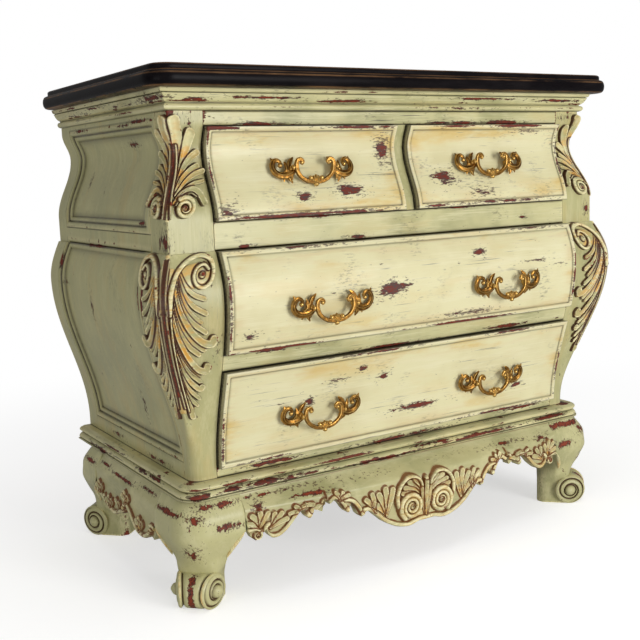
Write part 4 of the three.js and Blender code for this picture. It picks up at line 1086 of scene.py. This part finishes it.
# Strokes, half width, lowest and highest z, end on the side in y, step, and depth of the carving.
LEAVES = {"upper": (UPPER, 74, 690, 876, -163, 0.9, 1.0), "lower": (LOWER, 97, 343, 642, -176, 1.0, 0.74)}
for name, side in SIDES.items():
    for row, (strokes, half, low, high, panel_y, step, deep) in LEAVES.items():
        sheet = leaf(strokes, half, low, high, side, panel_y, step, deep)
        build(f"{name}_{row}_acanthus", [sheet], carved, [f"{name}_{row}_leaf"], sharp=75, gain=1.2)

# %% [markdown]
# ## Aprons
#
# The apron is a carved board that bows forwards between the feet. Its lower edge is a line of
# scrolls, with a cartouche of two volutes in the middle. The grid runs down from the base
# moulding to that line, and its strokes are measured from the middle, so both halves match.

# %% The pattern of the front apron
LOW_EDGE = [
    (0, 78), (20, 77), (45, 71), (60, 74), (73, 78), (85, 84), (98, 91), (110, 102), (119, 110), (128, 119),
    (136, 124), (143, 119), (150, 113), (157, 120), (163, 134), (172, 146), (176, 138), (182, 129),
    (188, 136), (195, 147), (208, 160), (221, 153), (226, 164), (231, 158), (235, 141), (245, 146),
    (254, 150), (259, 140), (264, 134), (269, 140), (272, 152), (281, 152), (292, 142), (303, 130),
    (314, 121), (327, 112), (340, 113), (349, 124), (353, 134), (357, 124), (364, 114), (370, 112),
    (377, 118), (383, 131), (387.7, 134),
]
FRONT_APRON = [
    ("pad", [(0, 112), (0, 120)], 50, 4.0),
    ("bead", [(393, 133), (382, 135), (369, 135), (359, 128)], 4.6, 7),
    ("scroll", spiral((368, 123), 8, 1.4, 2.6, 1), 3.4, 7), ("bead", [(368, 123)], 3.8, 8.5),
    ("bead", [(345, 140), (351, 137), (352, 127), (340, 117), (327, 117), (314, 125), (303, 135), (292, 147),
              (281, 156), (269, 158)], 4.8, 7),
    ("bead", [(264, 142)], 8, 8), ("spoon", [(234, 156), (247, 154), (258, 150)], 6.4, 7.5),
    ("spoon", [(284, 158), (270, 162), (256, 160)], 5.4, 7),
    ("scroll", spiral((231, 160), 6, 1.2, 0, 1), 3, 6), ("bead", [(226, 176), (226, 150)], 1.8, 6),
    ("bead", [(221, 158), (208, 165), (194, 153), (187, 142), (182, 133)], 4.6, 7),
    ("bead", [(183, 136)], 6, 8.5), ("bead", [(188, 156), (172, 151), (160, 139), (150, 121)], 4.6, 7),
    ("bead", [(150, 122)], 6, 8.5),
    ("bead", [(146, 128), (134, 127), (119, 114), (98, 96), (73, 83), (45, 77), (20, 82), (0, 82)], 5.2, 8),
    *spoons(
        ([(8, 128), (26, 146), (52, 152)], 6.4, 9),
        ([(8, 134), (22, 152), (42, 162)], 6.4, 9.2),
        ([(6, 138), (16, 154), (28, 166)], 6, 9.4),
        ([(10, 122), (30, 136), (58, 142)], 5.6, 9),
    ),
    ("scroll", [(64, 108), (70, 126), (69, 145), (60, 161), (45, 171), (28, 171), (15, 162), (10, 148)],
     5.4, 11),
    ("scroll", spiral((37, 112), 27, 2.5, -0.9, 1), 6.0, 12), ("bead", [(37, 112)], 6, 13),
    ("spoon", [(4, 90), (8, 118), (11, 144)], 4.6, 10), ("spoon", [(0, 88), (0, 124), (0, 160)], 6, 12),
    ("bead", [(0, 164)], 5.5, 12),
]
FANS = [
    ((362, 136), [(384, 146), (377, 160), (362, 165), (347, 160)], 6.4),
    ((342, 130), [(334, 157), (320, 156), (310, 144)], 6.2),
    ((94, 104), [(124, 134), (113, 150), (97, 158), (80, 154)], 7.4),
    ((122, 118), [(142, 146), (128, 154)], 6.2), ((282, 150), [(292, 163), (304, 152)], 5),
    ((200, 156), [(206, 172), (192, 170), (180, 164)], 5),
]
APRON_EYES = [(37, 112, 3.6), (368, 123, 3.0)]
for shape in FANS:
    FRONT_APRON += fan(*shape, lean=2)
print(len(FRONT_APRON), "strokes on half the front apron")


# %% Front apron
# Half the front apron's length, its face in y under the moulding, and how far all of them flare.
APRON_END, APRON_FACE, APRON_REACH = 387.9, -242, 19


def hung(along, rows, edge, strokes, places=()):
    """Parts of a carved board that hangs from the base moulding down to a scrolled edge: its
    heights, a wave from 0 to 1 that it comes out with, its relief and its finish. Right at the
    edge the relief is rounded off."""
    low = np.interp(along, *zip(*edge))
    share = np.linspace(0, 1, rows)[None]
    z = APRON_TOP + (low - APRON_TOP) * share
    flat = np.broadcast_to(along, z.shape)
    carving = carve(flat, z, strokes)
    rim = np.interp((1 - share) * (APRON_TOP - low), [0, 1.5, 3.5], [-3.0, -0.8, 0])
    finish = carving_marks(carving, eyes(flat, z, places, 0.85))
    # Painted shade along the top, in the crease under the base moulding.
    finish[..., 0] += hump(APRON_TOP - z, 1.6)
    finish[:3, :, :2] = finish[-3:, :, :2] = -1
    return z, wave(APRON_TOP - z, 0, 32, 0, 1), np.maximum(carving[0], rim), finish


def board(face, back, finish):
    """Closed skin down the face of a board and up its back, which has a sixth of the rows."""
    back = back[:, ::-1][:, ::6]
    finish = np.pad(finish, ((0, 0), (0, back.shape[1]), (0, 0)))
    return skin(np.concatenate([face, back], 1), finish)


def front_apron():
    """The apron bows forwards by 45 mm in the middle, which falls to 19 mm at the feet as
    1 - x^2, where it meets the knees."""
    x = np.linspace(-APRON_END, APRON_END, 700)[:, None]
    z, out, relief, finish = hung(np.abs(x), 104, LOW_EDGE, FRONT_APRON, APRON_EYES)
    bow = out * (APRON_REACH + 26 * (1 - (x / 387.7) ** 2))
    return board(grid(x, APRON_FACE - bow - relief, z), grid(x, APRON_FACE + 14 - 0.9 * bow, z), finish)


APRON_SPOTS = [
    (-330, -262, 190, 110, 24, 4), (-250, -270, 178, 40, 24, 4), (-130, -284, 186, 70, 24, 3.5),
    (-362, -262, 176, 12, 24, 9), (90, -286, 188, 70, 24, 3.5), (250, -274, 184, 70, 24, 4),
    (344, -264, 176, 26, 24, 7),
]
build("scrolled_front_apron", [front_apron()], carved_apron, ["front_apron"], spots=APRON_SPOTS,
      sharp=75, gain=1.2)

# %% The pattern of the side aprons
SIDE_EDGE = [
    (-137.4, 118), (-126, 104), (-116, 108), (-106, 108), (-91, 97), (-70, 95), (-56, 97), (-44, 103),
    (-31, 112), (-15, 128), (0, 134), (8, 126), (15, 116), (25, 112), (35, 110), (50, 106), (66, 99),
    (86, 101), (103, 105), (120, 110), (140, 118), (155, 122), (174, 128),
]
SIDE_APRON = [
    ("bead", [(-139, 128), (-126, 131), (-116, 130)], 4.4, 6),
    ("scroll", spiral((-118, 117), 7, 1.3, 2.4, -1), 3.2, 7), ("bead", [(-118, 117)], 3.6, 8),
    ("bead", [(-110, 113), (-91, 102), (-72, 100), (-56, 102), (-44, 108), (-31, 117), (-15, 132), (2, 141),
              (14, 132)], 4.8, 7.5),
    ("bead", [(14, 124), (25, 117), (35, 115), (50, 110), (66, 104), (86, 106), (103, 110), (120, 116),
              (140, 124), (176, 132)], 4.6, 7),
    ("bead", [(16, 128)], 5.5, 9), ("bead", [(120, 126)], 5, 8), ("bead", [(-2, 148)], 5, 8),
]
SIDE_FANS = [
    ((-64, 104), [(-77, 121), (-64, 127), (-51, 120)], 7.5),
    ((2, 138), [(-11, 154), (3, 161), (16, 152)], 7.5), ((50, 112), [(39, 129), (54, 133)], 7),
    ((92, 106), [(80, 123), (94, 128), (107, 120)], 7.5),
    ((146, 124), [(135, 140), (149, 146), (162, 138)], 7.5),
]
for shape in SIDE_FANS:
    SIDE_APRON += fan(*shape)


def side_apron(side):
    """The side apron stands out by the same 19 mm all along, and is 16 mm thick."""
    y = np.linspace(-137.4, 174, 300)[:, None]
    z, out, relief, finish = hung(y, 78, SIDE_EDGE, SIDE_APRON)
    outward = 491 + APRON_REACH * out
    return board(grid(side * (outward + relief), y, z), grid(side * (outward - 16), y, z), finish)


SIDE_APRON_SPOTS = [(504, -90, 186, 20, 50, 3), (504, 40, 180, 20, 60, 3), (504, 140, 184, 20, 30, 3)]
for name, side in SIDES.items():
    spots = [(side * x, *others) for x, *others in SIDE_APRON_SPOTS]
    build(f"{name}_scrolled_apron", [side_apron(side)], carved_apron, [f"{name}_apron"], spots=spots,
          sharp=75, gain=1.2)

# %% [markdown]
# ## Feet
#
# Each foot is a cabriole leg: a broad knee, a narrow ankle and a toe that rolls into a scroll
# across the corner. The leg is an outline whose reach and width follow smooth curves of the
# height. The scroll is turned about its own axis, with grooves between its bands and a spiral
# cut into each end round a domed button.


# %% Legs
LEG = [
    (0, -36, 60), (32, -36, 60), (48, -27, 64), (62, -16, 70), (74, -13, 73), (88, -9, 80), (104, -2, 94),
    (120, 5, 111), (134, 9, 124), (150, 8, 123.7), (168, 6, 121.7), (184, -2, 113.7),
    (APRON_TOP, -11.7, 104),
]
# How far the toe's axis lies in from the corner, its height, and the reach of the block over it.
TOE_IN, TOE_Z, BLOCK = 29, 32, 36


def leg(side_x, side_y, face_y):
    """Rings up the leg: a square with a rounded outer corner and eased inner edges. Below the
    ankle each ring turns into a rounded block across the corner, by scaling each direction until
    |outward / BLOCK|^5 + |across / half width|^5 = 1, so that the leg flows into its scroll."""
    z, out, width = curve(LEG, 90).T[:, :, None]
    r = np.minimum(52, width * 0.49)
    x, ease = HALF + out, np.where(z > 132, 0.5, 4.0)
    angle = np.linspace(0, np.pi / 2, 18)[None]
    straight, level = np.linspace(0, 1, 10)[None, :-1], np.linspace(0, 1, 6)[None]
    corner = [(ease, 0 * z), (0.3 * ease, 0.3 * ease)]
    arc = grid(x - r + r * np.cos(angle), out - r + r * np.sin(angle), z)
    top = grid(x - r + (ease + r - width) * straight, out, z)
    inner = [grid(x - width + a, out - b, z) for a, b in corner]
    rear = grid(x - width, out - ease + (2 * ease - width) * level, z)
    under = grid(x - width + ease + (width - 2 * ease) * level, out - width, z)
    flank = [grid(x - b, out - width + a, z) for a, b in corner[::-1]]
    rise = grid(x, out - width + ease + (width - ease - r) * straight[:, 1:], z)
    rings = np.concatenate([arc, top[:, 1:], *inner, rear, under, *flank, rise], 1)
    middle = out - width / 2
    a, b = rings[..., 0] - HALF - middle, rings[..., 1] - middle
    outward, across = (a + b) / math.sqrt(2), (a - b) / math.sqrt(2)
    half_width = wave(z, 40, 86, 34, 47)
    reach = ((np.abs(outward) / BLOCK) ** 5 + (np.abs(across) / half_width) ** 5) ** 0.2
    turned = wave(z, 46, 108, 1, 0)
    centre = turned * (HALF - TOE_IN - 27) + (1 - turned) * (HALF + middle)
    scale = 1 + turned * (1 / np.maximum(reach, 1e-6) - 1)
    outward, across = outward * scale, across * scale
    rings[..., 0] = side_x * (centre + (outward + across) / math.sqrt(2))
    rings[..., 1] = face_y + side_y * (centre - HALF + (outward - across) / math.sqrt(2))
    plain = np.where(z > 131, -1.0, 0.0) + np.zeros(rings.shape[:2])
    return skin(rings, marks(plain.shape, plain, plain))


# %% Scroll toes
ROLL = [
    (0, 31.6), (6, 31.9), (12, 32.0), (18, 31.6), (22, 30.4), (24.2, 28.2), (25.4, 27.0), (26.6, 28.6),
    (28.4, 31.2), (31, 32.6), (33.4, 32.0), (35, 30.0),
]
# The spiral's pitch, the radii of its button and of the end face, and the shear.
PITCH, BUTTON, END, SHEAR = 11.5, 11.5, 29.4, 0.33


def roll(side_x, side_y, face_y):
    """A turned scroll: radius by distance along its axis, then an end face that closes inwards
    with a spiral groove, a hump across each turn, and a domed button. Each end is sheared by a
    share of the outward reach, so that it turns towards the front or the side."""
    s, r = curve(ROLL, 72).T
    on_side = np.zeros(len(s))
    face_r = np.linspace(END, 0.4, 54)
    on_button = 8.5 * np.sqrt(np.clip(1 - (face_r / BUTTON) ** 2, 0, 1)) - 1.5
    dome = np.append(on_side, np.where(face_r < BUTTON, on_button, 0))[:, None]
    s, r = np.append(s, 35.6 + 7 * (1 - face_r / END))[:, None], np.append(r, face_r)[:, None]
    angle = np.linspace(0, TURN, 88, endpoint=False)
    turns = (r / PITCH + side_x * angle[None] / TURN) % 1 - 0.5
    on_face = np.append(on_side, face_r > BUTTON + 0.6)[:, None]
    moat = np.append(on_side, hump(face_r - BUTTON - 1.2, 1.4))[:, None]
    groove = np.maximum(on_face * hump(turns, 0.15), moat)
    half = grid(s + dome - 4.5 * groove, r * np.cos(angle), r * np.sin(angle))
    along, outward, up = np.concatenate([(half[::-1] * [-1, 1, 1])[:-1], half[1:]]).transpose(2, 0, 1)
    groove = np.concatenate([groove[::-1][:-1], groove[1:]])
    straight = np.abs(along)
    along = along - np.sign(along) * SHEAR * outward * wave(straight, 2, 24, 0, 1)
    x = side_x * (HALF - TOE_IN + (along + outward) / math.sqrt(2))
    y = face_y - side_y * (TOE_IN + (along - outward) / math.sqrt(2))
    spot = np.clip(1.3 - straight / 9, 0, 1) * np.clip(outward / 20, 0, 0.8)
    # Glaze and painted shade in the grooves between the bands and in the spiral.
    gilt = 0.95 * hump(straight - 30.5, 2.6)
    glaze_and_shade = np.clip(hump(straight - 25.4, 1.5) + 0.95 * groove, 0, 1)
    return skin(grid(x, y, np.maximum(TOE_Z + up, 0)), marks(gilt.shape, glaze_and_shade, 0.5 * gilt, spot, gilt))


def edge_bead(side_x, side_y, face_y, flank):
    """A gilt bead down the arch edge of the leg, or of its flank: small circles along that edge."""
    z, out, width = curve(LEG, 90)[36:60].T[:, :, None]
    angle = np.linspace(0, TURN, 10, endpoint=False)[None]
    r = 4.2 * np.sqrt(np.clip(np.sin(np.linspace(0.02, 3.12, len(z))), 0.02, 1))[:, None]
    a, b = out - width + 3.5, out - 0.6
    x, y = (b, a) if flank else (a, b)
    ring_x, ring_y = side_x * (HALF + x + r * np.cos(angle)), face_y + side_y * (y + r * np.sin(angle))
    return skin(grid(ring_x, ring_y, z), (0, 0.6, 0, 1))


FOOT_SPOTS = [
    (496, 4, 172, 28, 20, 12), (440, 2, 190, 70, 24, 6), (506, -70, 176, 18, 50, 5),
    (482, -14, 110, 15, 15, 16), (420, 6, 150, 24, 18, 8),
]
for end, sy, face in (("front", -1, FRONT), ("rear", 1, BACK - 28)):
    for name, sx in SIDES.items():
        place = (sx, sy, face)
        skins = [leg(*place), roll(*place), edge_bead(*place, False), edge_bead(*place, True)]
        spots = [(sx * x, face + sy * y, *others) for x, y, *others in FOOT_SPOTS]
        build(f"{name}_{end}_scroll_foot", skins, carved_legs, [f"{name}_{end}_foot"], spots=spots,
              sharp=60, gain=4)

# %% [markdown]
# ## Handles
#
# Each handle is three brass castings: two leafy posts fixed to the drawer, and a bail that
# swings between them. A casting is built from limbs. A limb is an ellipse carried along a
# smooth line that lies against the drawer face, its front scored by flutes.


# %% Limbs of the castings
def limb(points, widths, depths, stand, sides=24, steps=36, flutes=3, score=0.28):
    """An ellipse across a smooth line in the (x, z) plane: width times cos in the plane and
    depth times sin towards the viewer, less a score of |cos(flutes * angle)| on its front. stand
    is how far the line stands off the face."""
    path = curve(points, steps)
    run = np.gradient(path, axis=0)
    run /= np.linalg.norm(run, axis=1)[:, None]
    share = np.linspace(0, 1, steps)
    w, d, off = (
        np.interp(share, np.linspace(0, 1, len(values)), values)[:, None]
        for values in (widths, depths, stand)
    )
    angle = np.linspace(0, TURN, sides, endpoint=False)[None]
    front = np.clip(np.sin(angle), 0, 1)
    cut = 1 - score * front * np.abs(np.cos(flutes * angle))
    x = path[:, :1] - run[:, 1:] * w * np.cos(angle) * cut
    z = path[:, 1:] + run[:, :1] * w * np.cos(angle) * cut
    return grid(x, -off - d * np.sin(angle) * cut, z)


def ball(x, y, z, rx, ry, rz, rows=10, sides=16):
    """An ellipsoid as rings from pole to pole."""
    t = np.linspace(0.06, np.pi - 0.06, rows)[:, None]
    a = np.linspace(0, TURN, sides, endpoint=False)[None]
    return grid(x + rx * np.sin(t) * np.cos(a), y + ry * np.sin(t) * np.sin(a), z + rz * np.cos(t))


# %% Posts and bails
# How far a drawer's face stands proud of the curve, and how far the pins stand off that face.
PLATE, PIN_OFF = 14, 19
POST_LIMBS = [
    ([(28, 6), (27, 12), (32, 17), (39, 16), (44, 8), (43, -2), (35, -10), (22, -12), (10, -8), (2, 0)],
     [2.6, 3.4, 4.2, 4.6, 5.0, 5.6, 6.2, 6.8, 6.6, 5.0], [3.0, 3.6, 4.2, 4.6, 5.0, 5.4, 5.6, 5.6],
     [10, 10, 9, 9, 10, 12]),
    ([(30, -10), (18, -6), (11, 4), (6, 14), (-3, 23)], [2.5, 4.5, 4.6, 4.2, 4.8, 4.4, 1.2],
     [3, 4.2, 4.2, 3.4, 1.2], [9, 10, 9, 8]),
    ([(24, -10), (17, -2), (16, 6), (18, 15)], [2.5, 4.4, 4.0, 4.2, 1.0], [3, 4, 3.4, 1.2], [9, 11, 11, 9]),
    ([(40, 10), (42, 17), (44, 23)], [3.4, 3.0, 0.8], [3.2, 2.6, 0.8], [9, 9, 8]),
    ([(20, -10), (24, -16), (26, -22)], [3.5, 3.2, 0.8], [3.4, 3, 0.8], [8, 8, 7]),
    ([(14, -9), (13, -18), (9, -26)], [4.5, 4.2, 1.0], [4, 3.6, 0.9], [9, 9, 8]),
    ([(10, -4), (9, -13), (8, -20)], [3.6, 3.2, 0.9], [4, 3.2, 0.9], [10, 10, 8]),
]


def lay(rings, x, z, turn, mirror=1):
    """Places a casting drawn on a flat face onto the drawer, tilted with the bombe curve."""
    px, py, pz = rings[..., 0] * mirror, rings[..., 1], rings[..., 2]
    c, s = math.cos(turn), math.sin(turn)
    return grid(x + px, front_y(z, PLATE) + py * c - pz * s, z + py * s + pz * c)


def handle_post(x, z, turn, side):
    """A leafy post: its limbs, the eye of its curl, a stem to the drawer and the ear for the pin."""
    parts = [limb(*spec, flutes=2 if i else 3) for i, spec in enumerate(POST_LIMBS)]
    eye, stem = ball(29, -10.5, 7, 4.2, 4.2, 4.2), ball(7, -9, 0, 5.6, 9, 6.0)
    parts += [eye, stem, ball(7.6, -18.6, 0, 3.4, 5.2, 5.2)]
    return [skin(lay(p, x + side * 39, z, turn, side)) for p in parts]


BAIL = [(-29, 5), (-26, 9.5), (-30, 14), (-37, 12), (-39.6, 4), (-38, -7), (-31, -17), (-17, -25), (0, -27)]


def handle_bail(x, z, turn):
    """The swinging loop with curled tops, its pins, and the shell clasp at the bottom."""
    line = BAIL + [(-a, b) for a, b in reversed(BAIL[:-1])]
    widths = [2.6, 3.2, 3.6, 4.2, 4.8, 4.6, 4.2, 4.2, 4.4]
    depths = [3.2, 3.8, 4.4, 4.4, 4.4, 4.4, 3.8, 3.2]
    parts = [limb(line, widths + widths[-2::-1], depths, [0], 20, 120, 2)]
    for s in (-1, 1):
        pin = ball(s * 44, 0, 0, 6.4, 2.0, 2.0)
        parts += [pin, ball(s * 29.5, -1, 8, 3.8, 4.0, 3.8), ball(s * 11.5, -1.6, -20, 4.4, 4.3, 4.4)]
    for bend, long in ((-1.1, 11), (-0.55, 12), (0, 12.5), (0.55, 12), (1.1, 11)):
        x_tip, up = long * math.sin(bend), 3 + long * math.cos(bend)
        rib = [(0, -29), (0.5 * x_tip, 0.55 * up - 29), (x_tip, up - 29)]
        parts.append(limb(rib, [1.6, 3.4, 3.8, 3.2, 1.0], [3, 4.4, 4.2, 1.6], [0.6, 0.9, 0.4], 12, 14, 1))
    parts.append(ball(0, -1.2, -31, 5.0, 4.0, 4.2))
    y = front_y(z, PLATE) - PIN_OFF * math.cos(turn)
    return [skin(p + [x, y, z - PIN_OFF * math.sin(turn)]) for p in parts]


# %% Six handles
HANDLE_X = 211.93
CAST = dict(sharp=60, gain=8, ease=0.06)
ROWS = {
    "upper": (771.5, "upper_{}_drawer"), "middle": (533.0, "middle_drawer"),
    "bottom": (327.5, "bottom_drawer"),
}
for row, (z, drawer) in ROWS.items():
    turn = math.atan2(float(bulge(z + 10) - bulge(z - 10)), 20)
    for name, side in SIDES.items():
        x = side * HANDLE_X
        for end, hand in SIDES.items():
            build(f"{row}_{name}_leafy_{end}_post", handle_post(x, z, turn, hand), cast_brass,
                  [f"{row}_{name}_handle_{end}_post"], drawer.format(name), **CAST)
        build(f"{row}_{name}_scrolled_bail", handle_bail(x, z, turn), cast_brass,
              [f"{row}_{name}_handle_bail"], f"{row}_{name}_bail", **CAST)

# %% [markdown]
# ## Studio
#
# The chest stands on a plain pale floor. Large soft lamps light it from in front, from above and
# from low on the left, at a level where the paint shows as it was mixed. The white of the
# background and the glow of the floor are only for the camera's own rays, so they add no light.


# %% Floor and world
WHITE = (1, 1, 1, 1)


def plane_of_floor():
    mesh = bpy.data.meshes.new("studio_floor")
    mesh.from_pydata([(-14, -14, 0), (14, -14, 0), (14, 14, 0), (-14, 14, 0)], [], [(0, 1, 2, 3)])
    floor = add("studio_floor", mesh)
    floor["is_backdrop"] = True
    material, tree, shader = surface("pale_floor", 0.8, specular=0.1)
    shader.inputs["Base Color"].default_value = (0.85, 0.85, 0.85, 1)
    seen = node(tree, "ShaderNodeLightPath").outputs["Is Camera Ray"]
    strength = maths(tree, "MULTIPLY", seen, 0.56)
    glow = node(tree, "ShaderNodeEmission", {"Color": WHITE, "Strength": strength})
    near = node(tree, "ShaderNodeAddShader", {0: shader.outputs["BSDF"], 1: glow.outputs["Emission"]})
    white = node(tree, "ShaderNodeEmission", {"Color": WHITE, "Strength": 1.0})
    place = node(tree, "ShaderNodeTexCoord").outputs["Object"]
    away = node(tree, "ShaderNodeVectorMath", {0: place}, operation="LENGTH").outputs["Value"]
    fade = maths(tree, "MULTIPLY", seen, span(tree, away, 0.65, 2.1))
    shaders = {0: fade, 1: near.outputs["Shader"], 2: white.outputs["Emission"]}
    both = node(tree, "ShaderNodeMixShader", shaders)
    tree.links.new(both.outputs["Shader"], tree.nodes["Material Output"].inputs["Surface"])
    mesh.materials.append(material)


def pale_world():
    world = bpy.data.worlds.new("pale_world")
    world.use_nodes = True
    bpy.context.scene.world = world
    tree = world.node_tree
    soft = tree.nodes["Background"]
    soft.inputs["Color"].default_value = WHITE
    soft.inputs["Strength"].default_value = 0.29
    white = node(tree, "ShaderNodeBackground", {"Color": WHITE, "Strength": 1.0})
    seen = node(tree, "ShaderNodeLightPath").outputs["Is Camera Ray"]
    shaders = {0: seen, 1: soft.outputs["Background"], 2: white.outputs["Background"]}
    both = node(tree, "ShaderNodeMixShader", shaders)
    tree.links.new(both.outputs["Shader"], tree.nodes["World Output"].inputs["Surface"])


plane_of_floor()
pale_world()
print("floor and world ready")


# %% Lamps and camera
def lamp(name, place, target, size, watts):
    data = bpy.data.lights.new(name, "AREA")
    data.shape, data.size, data.energy = "DISK", size, watts
    made = add(name, data)
    made.location = place
    made.rotation_euler = (Vector(target) - Vector(place)).to_track_quat("-Z", "Y").to_euler()


lamp("key", (0.9, -4.0, 0.9), (0, 0, 0.4), 2.0, 92)
lamp("overhead", (-0.2, -0.6, 4.2), (0, 0, 0.4), 2.4, 24)
lamp("low_left_fill", (-3.2, -1.6, 0.35), (0, 0, 0.3), 1.6, 15)

lens = bpy.data.cameras.new("camera")
lens.lens, lens.sensor_width = 54.9, 36
camera = add("camera", lens)
camera.location = (-1.1609, -1.76135, 0.7719)
camera.rotation_euler = [math.radians(a) for a in (81.263, 1.970, -32.531)]
bpy.context.scene.camera = camera
bpy.context.scene.view_settings.view_transform = "Standard"
print("camera at", tuple(camera.location))

# %% Bounds of the shown pieces, and the end
low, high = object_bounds()
